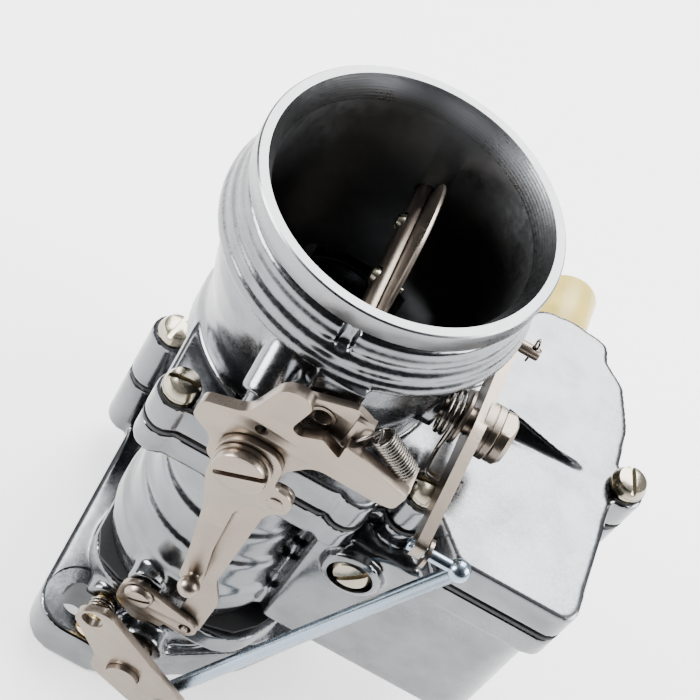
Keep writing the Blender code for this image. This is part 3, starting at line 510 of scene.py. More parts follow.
def air_horn():
    """The air horn and bowl cover, one casting: neck, rolled lip, choke boss, lever bosses and rib."""
    shapes = [
        lathe([(0, 142), (30.2, 142), (30.5, 139), (31.2, 136.9), (33.7, 136.2), (34.2, 135.5), (34.2, 133.3),
               (35.1, 132.8), (35.1, 130.2), (31.5, 129.2), (31.2, 124), (30.9, 119), (29.6, 112),
               (27.9, 105), (27.3, 99), (28.2, 96), (28.2, COVER_BOTTOM), (0, COVER_BOTTOM)], 128),
        ring_arc([(29.8, 142.6), (31.6, 142.2), (32.5, 141.2), (32.2, 140.3), (33.0, 139.5), (33.3, 138.3),
                  (32.9, 137.3), (33.5, 136.4), (29.8, 136)], (0, 0), radians(-85.4), radians(268.4), 160),
        *lobed(COVER_BOTTOM, COVER_TOP, 5.0),
        cross(CHOKE_X, CHOKE_Z, -36.4, 36.4, 5.6),
        block((CHOKE_X - 5.4, -36.0, CHOKE_Z - 1), (CHOKE_X + 5.4, -26, 131)),
        cross(HUB_X, HUB_Z, -39.9, -20.0, 6.2),
        peg((-7.6, -37.0, 116.0), (-7.4, -22.0, 128.0), 4.4),
        peg((20.0, PIVOT_Y, PIVOT_Z), (28.2, PIVOT_Y, PIVOT_Z), 5.3),
        stud(*PLUMB, COVER_BOTTOM, 97.4, 5.6),
        hull([(43.5, 1.6, 95), (43.5, 6.0, 95), (43.5, 3.4, 103.0), (43.5, 4.2, 103.0), (66.5, 3.6, 96.4),
              (66.5, 4.0, 96.4)]),
    ]
    lip = lathe([(0, HEIGHT), (33.0, HEIGHT), (33.35, 149.65), (33.35, 144.9), (33.0, 144.4), (31.6, 143.3),
                 (30.4, 141.6), (30.1, 140), (0, 140)], 192)
    inside = lathe([(0, 155), (33.42, 155), (31.1, HEIGHT), (28.5, 144.4), (28.5, 116.5), (27.3, 110.5),
                    (25.6, 104.6), (24.4, 100.0), (24.0, 80), (0, 80)], 192)
    cuts = [
        inside,
        *[stud(0, side * BORE_Y, 80, 98, 13.6) for side in (-1, 1)],
        block((46.5, -30, 80), (70.5, 36, 92)),
        *[stud(x, y, 80, 104, 2.5) for x, y in COVER_SCREWS],
        cross(CHOKE_X, CHOKE_Z, -50, 50, 3.1),
        cross(HUB_X, HUB_Z, -50, -29.5, 2.6),
        peg((-7.6, -40.0, 113.6), (-7.5, -31.0, 120.8), 2.8),
        peg((25.5, PIVOT_Y, PIVOT_Z), (32, PIVOT_Y, PIVOT_Z), 2.5),
        stud(*PLUMB, 80, 104, 2.7),
    ]
    horn = cast("air_horn_casting", shapes, 0.55, 7, [lip], cuts)
    horn.data.materials.clear()
    for look in (CASTING, MACHINED, DARK_BORE):
        horn.data.materials.append(look)
    for face in horn.data.polygons:
        x, y, z = face.center / MM
        r = (x * x + y * y) ** 0.5
        inward = face.normal.x * x + face.normal.y * y < 0
        if z > 144.3 and (r > 33.2 or face.normal.z > 0.3):
            face.material_index = 1
        elif r < 28.9 and inward and z < 144.5:
            face.material_index = 2
    return piece(horn, None, "polished_casting", "air_horn")


def main_body():
    """The main body casting: two barrels, float bowl, pump well and the bosses for its screws."""
    rings = [(0, 82), (17.6, 82), (18.0, 68), (19.6, 66), (19.8, 58), (21.3, 56), (21.4, 47), (22.6, 45),
             (22.6, 37.0), (21.4, 35.6), (21.2, BODY_BOTTOM), (0, BODY_BOTTOM)]
    shapes = [
        *lobed(78.0, BODY_TOP, 4.9),
        *[lathe(rings, 96, Matrix.Translation((0, side * BORE_Y, 0))) for side in (-1, 1)],
        block((-20.4, -18, BODY_BOTTOM), (24, 18, 80)),
        slab([rounded([(20, -32, 2), (74.4, -32, 7), (74.0, 38, 7), (44, 39, 4), (20, 30, 4)])], 36.0, 80.0),
        stud(76.0, 5.0, 66, 80, 4.6),
        cross(PLUG_X, PLUG_Z, -34.8, -24.0, 7.2),
        stud(*BASE_SCREW, BODY_BOTTOM, 48.0, 5.6),
        block((-27, 14.5, BODY_BOTTOM), (-14, 23.5, 46.0)),
        cross(INLET_X, INLET_Z, 34.0, 46.0, 8.6),
        cross(-6.5, 40.0, -42.6, -30.0, 4.4),
        *[stud(x, y, BODY_BOTTOM, 60.0, 5.4) for x, y in LOWER_SCREWS],
    ]
    venturi = [(0, 92), (13.6, 92), (13.6, 80), (12.3, 68), (12.3, 62), (16.2, 42), (16.2, 20), (0, 20)]
    cuts = [
        *[lathe(venturi, 96, Matrix.Translation((0, side * BORE_Y, 0))) for side in (-1, 1)],
        stud(0, 0, 77.0, 92, 24.0, 128),
        block((46.0, -30.5, 41.0), (71.5, 36.5, 95.0)),
        stud(*PLUMB, 39.0, 92, 7.4),
        *[stud(x, y, 76, 92, 2.5) for x, y in COVER_SCREWS],
        peg((35.5, 13, 50), (48, 13, 50), 2.0),
        cross(PLUG_X, PLUG_Z, -40.0, -31.4, 5.4),
        cross(PLUG_X, PLUG_Z, -40.0, -26.4, 3.4),
        stud(*BASE_SCREW, 20, 60, 2.5),
        cross(INLET_X, INLET_Z, 33.0, 50.0, 5.6),
        cross(-6.5, 40.0, -50, -34.8, 2.0),
        *[stud(x, y, 20, 52, 2.4) for x, y in LOWER_SCREWS],
        *[peg((49.0, y, 46.0), (28.0, y, 46.0), 3.4) for y in (-14.0, -4.0)],
        stud(58.0, -16.0, 38.2, 42.0, 3.1),
    ]
    return piece(cast("main_body_casting", shapes, 0.7, 6, (), cuts), CASTING, "polished_casting",
                 "main_body")


def throttle_body():
    """The throttle body casting on its three-stud flange."""
    half = [(-26.4, -47.2, 9.8), (-7.2, -47.2, 9.8), (10.0, -38.5, 16.0), (26.0, -28.0, 6.0),
            (39.6, -10.0, 9.6)]
    flange = rounded(half + [(x, -y, r) for x, y, r in reversed(half)])
    top = [(-21.4, -38.4, 12), (20, -38.4, 14), (27, -25, 5), (27, 25, 5), (20, 38.4, 14), (-21.4, 38.4, 12)]
    shapes = [
        slab([flange], 0.0, 12.5),
        *[stud(0, side * BORE_Y, 6, 24.0, 20.6, 96) for side in (-1, 1)],
        slab([rounded(top)], 20.7, BASE_TOP),
        block((-18.6, -17, 5), (19.4, 17, 23.0)),
        stud(*BASE_SCREW, 8.0, BASE_TOP, 5.6),
        block((-28, 14.5, 8), (-14, 23.5, BASE_TOP)),
        cross(0, THROTTLE_Z, -42.9, 42.9, 6.4),
        *[cross(-12, 20, side * 30.0, side * 39.4, 5.2) for side in (-1, 1)],
        *[stud(x, y, 4.5, 26.0, 5.6) for x, y in LOWER_SCREWS],
    ]
    cuts = [
        *[stud(0, side * BORE_Y, -5, 40, 16.2, 96) for side in (-1, 1)],
        cross(0, THROTTLE_Z, -60, 60, 4.2),
        *[stud(x, y, -5, 20, 4.4) for x, y in STUDS],
        *[stud(x, y, 11.9, 13.9, 8.6) for x, y in STUDS],
        stud(*BASE_SCREW, 12, 40, 2.5),
        *[stud(x, y, -5, 5.0, 4.9) for x, y in LOWER_SCREWS],
        *[stud(x, y, 0, 40, 2.4) for x, y in LOWER_SCREWS],
        *[cross(-12, 20, side * 55, side * 28.5, 2.4) for side in (-1, 1)],
    ]
    return piece(cast("throttle_body_casting", shapes, 0.6, 6, (), cuts), CASTING, "polished_casting",
                 "throttle_body")


def gaskets():
    """The black cover gasket, a little inside the castings' edges."""
    low, high = BODY_TOP + 0.3, COVER_BOTTOM - 0.3
    cover = as_object(slab([rounded(COVER_CORNERS)], low, high), "cover_gasket")
    carve(cover, "UNION", [stud(x, y, low, high, 4.95) for x, y in (*COVER_SCREWS, *COVER_LOBES)])
    carve(cover, "DIFFERENCE", [
        stud(0, 0, 80, 95, 24.6, 96),
        *[stud(0, side * BORE_Y, 80, 95, 14.2) for side in (-1, 1)],
        block((46.5, -30, 80), (70.5, 36, 92)),
        stud(*PLUMB, 80, 92, 7.6),
        *[stud(x, y, 80, 92, 2.5) for x, y in COVER_SCREWS],
    ])
    piece(cover, GASKET_BLACK, "gasket", "air_horn_gasket")


# ---------------------------------------------------------------- fasteners


def fasteners():
    """Cover screws, body screws and the brass plug of a passage."""
    turns = (0.117, 1.0, 0.1, 0.7, 1.9)
    for number, ((x, y), turn) in enumerate(zip(COVER_SCREWS, turns), 1):
        screw(f"cover_screw_{number}_detail", (x, y, COVER_TOP + 1.7), (0, 0, 1), 4.3, 2.9, 2.1, 18.0,
              SCREW_METAL, "screw_nickel", f"cover_screw_{number}", washer=3.9, turn=turn, dome=0.42)
    screw("base_screw_detail", (*BASE_SCREW, 48.4), (0, 0, 1), 4.5, 3.2, 2.1, 33.0, SCREW_METAL,
          "screw_nickel", "base_screw", turn=1.373, dome=0.42)
    for number, (x, y) in enumerate(LOWER_SCREWS, 1):
        screw(f"lower_screw_{number}_detail", (x, y, 4.7), (0, 0, -1), 4.4, 3.1, 2.0, 40.0, SCREW_METAL,
              "screw_nickel", f"lower_screw_{number}", turn=number)
    screw("passage_plug_detail", (PLUG_X, -31.7, PLUG_Z), (0, -1, 0), 5.0, 3.3, 3.0, 4.4, SCREW_METAL,
          "brass", "passage_plug", turn=0.9)


air_horn()
main_body()
throttle_body()
gaskets()
fasteners()

# ---------------------------------------------------------------- linkage


def sheet_part(name, loops, low, high, facing, look, slot, *nodes, adds=(), cuts=(), edge=0.28, segments=2):
    """A stamped part: flat stock with softly broken edges."""
    obj = as_object(slab(loops, low, high, facing), name)
    carve(obj, "UNION", adds)
    carve(obj, "DIFFERENCE", cuts)
    soften(obj, edge, segments)
    return piece(obj, look, slot, *nodes)


def solid_part(name, shape, look, slot, *nodes, adds=(), cuts=(), edge=0.0, angle=35):
    """A turned or built-up part."""
    obj = as_object(shape, name)
    carve(obj, "UNION", adds)
    carve(obj, "DIFFERENCE", cuts)
    if edge:
        soften(obj, edge)
    return piece(obj, look, slot, *nodes, angle=angle)


def choke():
    """The choke shaft, with its plate let into a flat and held by three screws."""
    screws = (17.2, 0.0, -17.2)
    holes = [peg((0, y, CHOKE_Z), (12, y, CHOKE_Z), 1.4) for y in screws]
    flat = block((CHOKE_X + 0.1, -27.9, CHOKE_Z - 5), (CHOKE_X + 5, 27.9, CHOKE_Z + 5))
    threads = [(2.4 - 0.3 * (i % 2), 4.6 - 0.35 * i) for i in range(14)]
    tapped = lathe([(0, 5.0), (2.4, 5.0), *threads, (2.5, -1), (0, -1)], 40,
                   along((CHOKE_X, -39.2, CHOKE_Z), (CHOKE_X, -30.0, CHOKE_Z)))
    seats = [peg((-4, y, CHOKE_Z), (CHOKE_X - 1.9, y, CHOKE_Z), 2.5) for y in screws]
    solid_part("choke_shaft_detail", cross(CHOKE_X, CHOKE_Z, -39.2, 35.0, 2.9), NICKEL, "satin_nickel",
               "choke_shaft", cuts=[flat, *holes, tapped, *seats])
    middle = CHOKE_Z - CHOKE_X
    rim = [(0, 1.0), (26.9, 1.0), (27.2, 0.75), (27.2, 0.25), (26.9, 0.0), (0, 0.0)]
    facing = along((CHOKE_X + 0.4, 0, middle), (CHOKE_X + 1.4, 0, middle))
    drilled = [peg((0, y, CHOKE_Z), (12, y, CHOKE_Z), 1.4) for y in screws]
    solid_part("choke_plate_detail", lathe(rim, 128, facing), NICKEL, "satin_nickel", "choke_plate",
               cuts=drilled)
    for number, y in enumerate(screws, 1):
        screw(f"choke_plate_screw_{number}_detail", (CHOKE_X - 2.2, y, CHOKE_Z), (-1, 0, 0), 2.1, 1.6, 1.2,
              6.2, SCREW_METAL, "screw_nickel", f"choke_plate_screw_{number}", turn=0.6 + number, dome=0.5)


def choke_levers():
    """The levers on the choke side, their screw, the fast-idle link and the choke spring."""
    hx, hz = HUB_X, HUB_Z
    sheet_part(
        "choke_shaft_lever_detail",
        [rounded([(-1, 117, 5), (-1, 125.6, 4), (2, 127.0, 4), (9.8, 130.2, 1.2), (13.4, 128.4, 1),
                  (15.4, 124.6, 2), (15.4, 118.2, 2), (8, 115.6, 5)]),
         circle(CHOKE_X, CHOKE_Z, 3.0)],
        -39.0, -37.2, "Y", NICKEL, "satin_nickel", "choke_shaft_lever",
        adds=[block((10.8, -40.1, 119.2), (14.6, -38.8, 128.6)),
              block((10.8, -39.5, 126.6), (14.6, -37.6, 128.6))],
        cuts=[block((10.0, -38.85, 117.4), (14.8, -36.5, 126.4))])
    star = [
        (hx - 7.4, hz - 7.4, 7), (hx - 8.6, hz + 0.2, 4), (hx - 14.1, hz + 3.9, 2.6),
        (hx - 13.9, hz + 9.5, 2.8), (hx - 4.9, hz + 12.9, 5), (hx - 1.4, hz + 25.9, 4.6),
        (hx + 6.1, hz + 26.3, 3.4), (hx + 3.6, hz + 12.9, 2.6), (hx + 10.6, hz + 17.1, 0.4),
        (hx + 15.3, hz + 14.3, 0.4), (hx + 15.1, hz + 18.8, 0.4), (hx + 19.0, hz + 18.1, 1),
        (hx + 31.1, hz + 13.9, 0.8), (hx + 30.3, hz + 8.1, 2), (hx + 26.1, hz + 7.4, 2),
        (hx + 12.5, hz + 7.8, 5), (hx + 8.3, hz + 1.7, 4), (hx + 7.4, hz - 7.4, 7)]
    tab = hull([(x, y, z) for x in (hx + 29.0, hx + 31.2) for y, z in
                ((-41.5, hz + 12.4), (-41.5, hz + 13.6), (-34.8, hz + 12.6), (-34.8, hz + 13.6))])
    holes = [circle(hx, hz, 3.9), circle(hx - 0.6, hz + 10.3, 1.5, 24)]
    sheet_part("choke_control_lever_detail", [rounded(star), *holes], -43.1, -40.4, "Y", NICKEL,
               "satin_nickel", "choke_control_lever", adds=[tab], edge=0.35, segments=3)
    arm = [
        (hx - 7.2, hz + 7.2, 7), (hx + 7.2, hz + 7.2, 7), (hx + 7.9, hz - 2.9, 2), (hx + 13.3, hz - 3.7, 3.4),
        (hx + 13.2, hz - 11.1, 3.4), (hx + 6.2, hz - 11.4, 4), (hx + 3.9, hz - 17.5, 6),
        (hx + 5.0, hz - 34.5, 12), (hx + 7.6, 54.2, 2.6), (hx + 2.0, 53.2, 2.6), (hx + 0.9, 64.0, 12),
        (hx - 2.2, hz - 20.5, 12), (hx - 5.6, hz - 9.5, 6)]
    rivet = lathe([(0, 0.7), (1.0, 0.65), (1.7, 0.35), (1.9, 0.0), (1.9, -1.0), (0, -1.0)], 32,
                  along((hx + 10.0, -44.8, hz - 7.4), (hx + 10.0, -45.8, hz - 7.4)))
    fittings = [cross(hx + 4.8, 57.4, -46.2, -44.0, 1.5), ball((hx + 4.8, -47.6, 57.4), 2.6),
                cross(hx + 10.0, hz - 7.4, -45.0, -41.0, 1.2), rivet]
    sheet_part("choke_ball_arm_detail", [rounded(arm), circle(hx, hz, 3.9)], -44.8, -43.35, "Y", NICKEL,
               "satin_nickel", "choke_ball_arm", adds=fittings, edge=0.3)
    head = [(0, 3.3), (5.3, 3.3), (5.75, 3.1), (5.95, 2.7), (5.95, 1.5), (5.6, 1.3), (5.6, 1.1), (6.3, 0.9),
            (6.3, 0.2), (6.1, 0.0), (3.6, 0.0), (3.6, -4.0), (2.3, -4.2), (2.3, -14.0), (0, -14.0)]
    slot_cut = block((-8, -0.75, 1.9), (8, 0.75, 5))
    facing = along((hx, -45.1, hz), (hx, -46.1, hz))
    bmesh.ops.transform(slot_cut, matrix=facing @ Matrix.Rotation(radians(29), 4, "Z"), verts=slot_cut.verts)
    solid_part("choke_shoulder_screw_detail", lathe(head, 64, facing), NICKEL, "satin_nickel",
               "choke_shoulder_screw", cuts=[slot_cut])
    link_x = hx + 10.0
    strip = [
        (link_x - 3.2, 100.6, 3), (link_x + 3.2, 100.6, 3), (link_x + 3.2, 94.6, 3), (link_x - 0.1, 88.0, 8),
        (link_x - 0.1, 57.0, 8), (link_x + 3.2, 49.0, 6), (link_x + 3.2, 32.6, 3), (link_x - 3.2, 32.6, 3),
        (link_x - 3.2, 49.0, 6), (link_x - 5.6, 57.0, 8), (link_x - 5.6, 89.0, 8), (link_x - 3.2, 95.0, 6)]
    sheet_part("fast_idle_link_detail", [rounded(strip), circle(link_x, hz - 7.4, 1.5, 24)], -43.0, -41.8,
               "Y", NICKEL, "satin_nickel", "fast_idle_link",
               adds=[cross(link_x, 36.0, -45.4, -42.0, 0.8)])
    coil = helix((16.9, -38.6, 126.4), (25.0, -38.6, 120.3), 2.35, 14, 24, (0, -1, 0))
    first = flowing([(12.9, -41.4, 124.6), (13.4, -41.6, 126.2), (14.6, -40.8, 127.6), (15.6, -39.6, 128.2),
                     (16.2, -39.2, 128.6), coil[0]], 6)
    last = flowing([coil[-1], (25.6, -40.0, 119.8), (26.2, -39.2, 116.4), (26.6, -38.0, 115.4),
                    (27.0, -37.2, 116.4), (26.8, -37.4, 118.8)], 6)
    wire("choke_spring_detail", first[:-1] + coil + last[1:], 0.33, SPRING_STEEL, "satin_nickel",
         "choke_spring")


def fast_idle():
    """The fast-idle cam and its screw."""
    x, z, foot_x, foot_z = -6.5, 40.0, 6.5, 36.0
    cam = [(x - 4.6, z - 6.0, 4.2), (x - 4.6, z + 4.6, 4.2), (foot_x, foot_z + 3.4, 3),
           (foot_x + 3.4, foot_z + 1.0, 3), (foot_x + 1.0, foot_z - 3.4, 3), (x + 8.4, z - 6.6, 0.4),
           (x + 8.0, z - 8.6, 0.4), (x + 5.0, z - 8.8, 0.4), (x + 4.4, z - 10.4, 0.4), (x + 1.0, z - 10.4, 2)]
    sheet_part("fast_idle_cam_detail", [rounded(cam), circle(x, z, 1.9), circle(foot_x, foot_z, 1.55)], -44.9,
               -43.4, "Y", NICKEL, "satin_nickel", "fast_idle_cam")
    screw("cam_screw_detail", (x, -45.2, z), (0, -1, 0), 3.6, 1.6, 1.6, 9.8, NICKEL, "satin_nickel",
          "cam_screw", turn=0.4)


def throttle():
    """The throttle shaft, plates and lever, and the two idle mixture needles."""
    slots = [block((-5, side * BORE_Y - 16.1, THROTTLE_Z - 0.8), (5, side * BORE_Y + 16.1, THROTTLE_Z + 0.8))
             for side in (-1, 1)]
    holes = [side * BORE_Y + step * 6.5 for side in (-1, 1) for step in (-1, 1)]
    solid_part("throttle_shaft_detail", cross(0, THROTTLE_Z, -52.0, 44.0, 4.0), NICKEL, "satin_nickel",
               "throttle_shaft", cuts=slots + [stud(0, y, 5, 25, 1.5) for y in holes])
    names = ("1a", "1b", "2a", "2b")
    for number, side in enumerate((-1, 1), 1):
        y = side * BORE_Y
        rim = [(0, 0.5), (15.8, 0.5), (15.95, 0.35), (15.95, -0.35), (15.8, -0.5), (0, -0.5)]
        drilled = [stud(0, y + step * 6.5, 5, 25, 1.5) for step in (-1, 1)]
        solid_part(f"throttle_plate_{number}_detail", lathe(rim, 96, Matrix.Translation((0, y, THROTTLE_Z))),
                   BRASS, "brass", f"throttle_plate_{number}", cuts=drilled)
    for name, y in zip(names, holes):
        screw(f"throttle_plate_screw_{name}_detail", (0, y, THROTTLE_Z + 4.2), (0, 0, 1), 2.6, 1.5, 1.25, 9.0,
              SCREW_METAL, "screw_nickel", f"throttle_plate_screw_{name}", turn=y, dome=0.5)
    lever = [(7, 21, 7), (17, 13, 4), (17, 3, 4), (4, 4, 4), (-8, 10, 6), (-8, 16, 5), (-18.4, 29, 4),
             (-10.6, 35, 4)]
    openings = [circle(0, THROTTLE_Z, 4.2), circle(-12.8, 29.4, 2.6), circle(11, 8, 1.5, 24)]
    sheet_part("throttle_lever_detail", [rounded(lever), *openings], -50.6, -48.6, "Y", NICKEL,
               "satin_nickel", "throttle_lever", edge=0.35, segments=3)
    for number, side in enumerate((-1, 1), 1):
        place = along((-12, side * 29.2, 20), (-12, side * 48.2, 20))
        profile = [(0, 19.0), (3.0, 19.0), (3.4, 18.6), (3.4, 16.2), (3.1, 16.0)]
        for i in range(14):
            profile += [(2.1, 15.6 - 0.7 * i), (1.8, 15.25 - 0.7 * i)]
        profile += [(2.0, 5.2), (0.4, 0.0), (0, 0)]
        slot_cut = block((-5, -0.45, 18.0), (5, 0.45, 21))
        bmesh.ops.transform(slot_cut, matrix=place, verts=slot_cut.verts)
        solid_part(f"idle_needle_{number}_detail", lathe(profile, 32, place), BRASS, "brass",
                   f"idle_needle_{number}", cuts=[slot_cut])
        coil = helix((-12, side * 40.2, 20), (-12, side * 44.6, 20), 2.9, 5, 24)
        wire(f"idle_spring_{number}_detail", coil, 0.35, SPRING_STEEL, "screw_nickel",
             f"idle_spring_{number}")


def pump():
    """The accelerator pump: lever, hub, spring, pins, plunger, cup and return spring."""
    pivot = (PIVOT_Y, PIVOT_Z)
    lever = [(14.8, 109.6, 2.4), (15.2, 115.8, 2.6), (-5, 115.2, 6), (-15, 114.8, 6), (-42.6, 104.6, 2.6),
             (-41.6, 97.8, 2.6), (-29, 101.5, 4), (-17, 103.4, 5), (-4, 104.2, 5)]
    collar = [(0, 5.7), (6.1, 5.7), (6.3, 5.5), (6.3, 4.05), (6.1, 3.9), (6.1, 3.8), (6.3, 3.65), (6.3, 1.7),
              (0, 1.7)]
    hub = lathe(collar, 64, along((LEVER_X, *pivot), (LEVER_X + 1, *pivot)))
    openings = [circle(*pivot, 3.4), circle(-39.6, 101.3, 2.4), circle(12.5, 112.8, 1.7)]
    sheet_part("pump_lever_detail", [rounded(lever), *openings], LEVER_X, LEVER_X + 2.6, "X", NICKEL,
               "satin_nickel", "pump_lever", adds=[hub],
               cuts=[peg((LEVER_X - 2, *pivot), (LEVER_X + 12, *pivot), 3.4)], edge=0.25)
    washer = [(6.1, 1.1), (6.4, 0.85), (6.4, 0.25), (6.1, 0.0), (3.4, 0.0), (3.4, 1.1)]
    facing = along((LEVER_X - 2.7, *pivot), (LEVER_X - 1.6, *pivot))
    solid_part("pump_spring_washer_detail", lathe(washer, 64, facing), NICKEL, "satin_nickel",
               "pump_spring_washer")
    head = [(0, 9.2), (4.9, 9.2), (6.0, 8.1), (6.0, 6.2), (5.8, 6.0), (3.1, 6.0), (3.1, -3.2), (2.2, -3.4),
            (2.2, -9.4), (0, -9.4)]
    solid_part("pump_pivot_screw_detail", lathe(head, 64, along((LEVER_X, *pivot), (LEVER_X + 1, *pivot))),
               NICKEL, "satin_nickel", "pump_pivot_screw",
               cuts=[block((LEVER_X + 5.6, PIVOT_Y - 9, PIVOT_Z + side * 7.1 - 1.9),
                           (LEVER_X + 12, PIVOT_Y + 9, PIVOT_Z + side * 7.1 + 1.9)) for side in (-1, 1)])
    coil = helix((LEVER_X - 6.2, *pivot), (LEVER_X - 3.5, *pivot), 5.3, 2.25, 40, (0, -1, 0))
    leg = flowing([coil[-1], (LEVER_X - 3.4, -17.2, 104.4), (LEVER_X - 3.3, -21.2, 101.6),
                   (LEVER_X - 2, -22.4, 101.2), (LEVER_X + 3.2, -22.6, 101.1), (LEVER_X + 4.2, -22.4, 101.5),
                   (LEVER_X + 4.3, -21.8, 102.5), (LEVER_X + 4.2, -21.4, 103.5)], 6)
    wire("pump_spring_detail", coil + leg[1:], 0.56, SPRING_STEEL, "satin_nickel", "pump_spring")
    pin = [(0, 14.0), (1.3, 14.0), (1.5, 13.7), (1.5, 0.3), (1.3, 0.0), (0, 0)]
    reach = along((LEVER_X - 6, 12.5, 112.8), (LEVER_X, 12.5, 112.8))
    solid_part("pump_cross_pin_detail", lathe(pin, 40, reach), NICKEL, "satin_nickel", "pump_cross_pin",
               cuts=[stud(LEVER_X + 6.2, 12.5, 105, 120, 0.6)])
    eye = flowing([(LEVER_X + x, y, z) for x, y, z in (
        (6.35, 12.5, 109.2), (6.35, 12.5, 113.2), (6.4, 12.3, 114.6), (6.5, 11.4, 115.8), (6.3, 12.0, 117.0),
        (6.1, 13.0, 116.9), (6.0, 13.4, 115.7), (6.0, 12.8, 114.6), (6.0, 12.5, 113.2), (5.9, 12.6, 111.4),
        (5.5, 13.5, 110.2))], 6)
    wire("pump_cotter_pin_detail", eye, 0.27, SPRING_STEEL, "zinc_plate", "pump_cotter_pin")
    plunger = [(0, 59.0), (2.0, 59.0), (2.3, 58.6), (2.3, 10.0), (6.4, 9.8), (6.4, 8.2), (2.3, 8.0),
               (2.3, 0.3), (2.0, 0), (0, 0)]
    flag = rounded([(8.4, 108.6, 1.5), (15.8, 108.6, 1.5), (15.8, 116.6, 3), (8.4, 116.6, 3)])
    solid_part("pump_plunger_detail", lathe(plunger, 48, Matrix.Translation((*PLUMB, 50.0))), NICKEL,
               "satin_nickel", "pump_plunger", adds=[slab([flag], LEVER_X - 4.2, LEVER_X - 1.6, "X")],
               cuts=[peg((LEVER_X - 9, 12.1, 112.8), (LEVER_X + 2, 12.1, 112.8), 2.3)])
    cup = [(7.1, 65.5), (7.1, 60.3), (2.6, 60.3), (2.6, 61.6), (5.9, 61.6), (5.9, 65.5)]
    solid_part("pump_cup_detail", lathe(cup, 48, Matrix.Translation((*PLUMB, 0))), LEATHER, "pump_leather",
               "pump_cup")
    spring = wire("pump_return_spring_detail", helix((*PLUMB, 39.9), (*PLUMB, 57.3), 4.6, 6, 24), 0.5,
                  SPRING_STEEL, "satin_nickel", "pump_return_spring")
    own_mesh(spring)


def pump_link():
    """The zinc rod from the pump lever to the throttle lever, and its clip."""
    top, foot = Vector((46.6, -40.2, 101.3)), Vector((11.0, -46.2, 8.0))
    start = LEVER_X - 1
    neck = [(0, top.x - start), (1.4, top.x - start), (1.4, 0.3), (1.1, 0), (0, 0)]
    solid_part("pump_link_detail", peg(top, foot, 1.8), ZINC, "zinc_plate", "pump_link",
               adds=[ball(top, 2.6), ball(foot, 1.9), lathe(neck, 32, along((start, -40.2, 101.3), top)),
                     peg(foot, (11.0, -52.0, 8.0), 1.25)], angle=50)
    clip = [(3.2, 0.8), (3.2, 0.0), (1.7, 0.0), (1.7, 0.8)]
    seat = along((LEVER_X + 3.1, -40.2, 101.3), (LEVER_X + 4, -40.2, 101.3))
    solid_part("pump_link_clip_detail", lathe(clip, 40, seat), NICKEL, "satin_nickel", "pump_link_clip")


def fuel():
    """The inlet fitting with its shipping cap, and the two boosters."""
    place = Matrix(((1, 0, 0, INLET_X), (0, 0, 1, 0), (0, -1, 0, INLET_Z), (0, 0, 0, 1)))
    cap = [(0, 72.0), (5.9, 72.0), (6.9, 71.6), (7.25, 70.8), (7.4, 55.2), (7.1, 54.6), (7.1, 54.2),
           (6.6, 53.4), (6.2, 53.0), (4.6, 53.0), (4.6, 62.0), (0, 62.0)]
    solid_part("inlet_cap_detail", lathe(cap, 64, place), CAP_YELLOW, "inlet_cap_plastic", "inlet_cap")
    hexagon = lathe([(0, 52.0), (7.6, 52.0), (8.2, 51.6), (8.2, 46.8), (7.6, 46.3), (0, 46.3)], 6, place)
    solid_part("fuel_inlet_fitting_detail", hexagon, BRASS, "brass", "fuel_inlet_fitting",
               adds=[cross(INLET_X, INLET_Z, 51.0, 60.0, 4.2), cross(INLET_X, INLET_Z, 39.5, 47.0, 5.2)],
               cuts=[cross(INLET_X, INLET_Z, 35.0, 65.0, 2.2)])
    for number, side in enumerate((-1, 1), 1):
        y = side * BORE_Y
        ring = [(7.0, 76.7), (6.8, 77.0), (5.8, 77.0), (4.4, 70.0), (4.6, 66.0), (6.2, 66.0), (6.4, 66.4)]
        bridge = block((5.7, y - 1.8, 69.0), (11.6, y + 1.8, 74.0))
        solid_part(f"booster_{number}_detail", lathe(ring, 64, Matrix.Translation((0, y, 0))), CASTING,
                   "polished_casting", f"booster_{number}", adds=[bridge])


choke()
choke_levers()
fast_idle()
throttle()
pump()
pump_link()
fuel()

PLAIN = {"polished_casting": CASTING, "satin_nickel": NICKEL, "screw_nickel": SCREW_METAL, "zinc_plate": ZINC,
         "brass": BRASS, "gasket": GASKET_BLACK, "inlet_cap_plastic": CAP_YELLOW, "pump_leather": LEATHER}
for entry in frame["record"]["subparts"]:
    shown = NODES[entry["node"]]
    shown.data.materials.clear()
    shown.data.materials.append(PLAIN[entry["material_slot"]])


# ---------------------------------------------------------------- studio


VIEW_FROM, VIEW_LENS = (-0.0293, -0.2784, 0.4345), 102.9
LAMP_AIM = Vector((0, 0, 0.09))


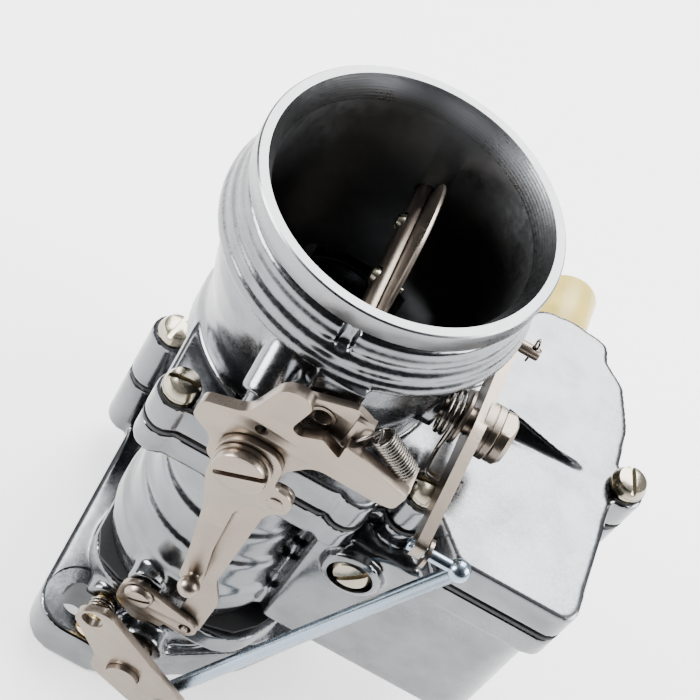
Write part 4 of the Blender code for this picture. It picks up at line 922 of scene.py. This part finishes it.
def studio():
    """A pale floor, a world that is dark low down and bright behind, and three soft lamps."""
    bpy.ops.mesh.primitive_plane_add(size=6, location=(0, 0, -0.0005))
    floor = bpy.context.object
    floor.name = "studio_floor"
    floor.data.materials.append(material("studio_paper", (0.95, 0.95, 0.95), 0.0, 0.8, 0.03, 300.0, 0.02))
    paper = floor.data.materials[0].node_tree.nodes["Principled BSDF"]
    paper.inputs["Emission Color"].default_value = (1.0, 1.0, 1.0, 1.0)
    paper.inputs["Emission Strength"].default_value = 1.0
    world = bpy.context.scene.world or bpy.data.worlds.new("studio")
    bpy.context.scene.world = world
    world.use_nodes = True
    nodes, links = world.node_tree.nodes, world.node_tree.links
    place = nodes.new("ShaderNodeTexCoord")
    toward = nodes.new("ShaderNodeVectorMath")
    toward.operation = "DOT_PRODUCT"
    toward.inputs[1].default_value = Vector((0.0, 0.62, 0.78)).normalized()
    ramp = nodes.new("ShaderNodeValToRGB")
    links.new(place.outputs["Generated"], toward.inputs[0])
    links.new(toward.outputs["Value"], ramp.inputs["Fac"])
    stops = ramp.color_ramp.elements
    stops[0].position, stops[0].color = 0.0, (0.03, 0.032, 0.036, 1)
    stops[1].position, stops[1].color = 1.0, (0.75, 0.78, 0.82, 1)
    for position, value in ((0.25, 0.04), (0.45, 0.10), (0.7, 0.42)):
        stop = ramp.color_ramp.elements.new(position)
        stop.color = (value, value * 1.01, value * 1.05, 1)
    links.new(ramp.outputs["Color"], nodes["Background"].inputs["Color"])
    nodes["Background"].inputs["Strength"].default_value = 1.0
    lamps = [
        ("left", (-0.75, -0.20, 0.42), 0.45, 17),
        ("right", (0.75, 0.05, 0.50), 0.50, 15),
        ("back", (0.02, 0.62, 0.80), 0.70, 22),
    ]
    for name, spot, size, power in lamps:
        light = bpy.data.lights.new(name, "AREA")
        light.shape, light.size, light.energy = "SQUARE", size, power
        lamp = bpy.data.objects.new(name, light)
        lamp.location = spot
        lamp.rotation_euler = (LAMP_AIM - Vector(spot)).to_track_quat("-Z", "Y").to_euler()
        bpy.context.scene.collection.objects.link(lamp)


def camera():
    """The camera, looking down on the choke side."""
    data = bpy.data.cameras.new("view")
    data.lens, data.sensor_width = VIEW_LENS, 36.0
    data.clip_start = 0.01
    view = bpy.data.objects.new("view", data)
    right, up, back = Vector((0.8699, 0.3301, 0.3665)), Vector((-0.4863, 0.6982, 0.5253)), Vector((-0.0825,
        -0.6352, 0.7679))
    turn = Matrix((right, up, back)).transposed().to_4x4()
    view.matrix_world = Matrix.Translation(VIEW_FROM) @ turn
    bpy.context.scene.collection.objects.link(view)
    bpy.context.scene.camera = view


studio()
camera()
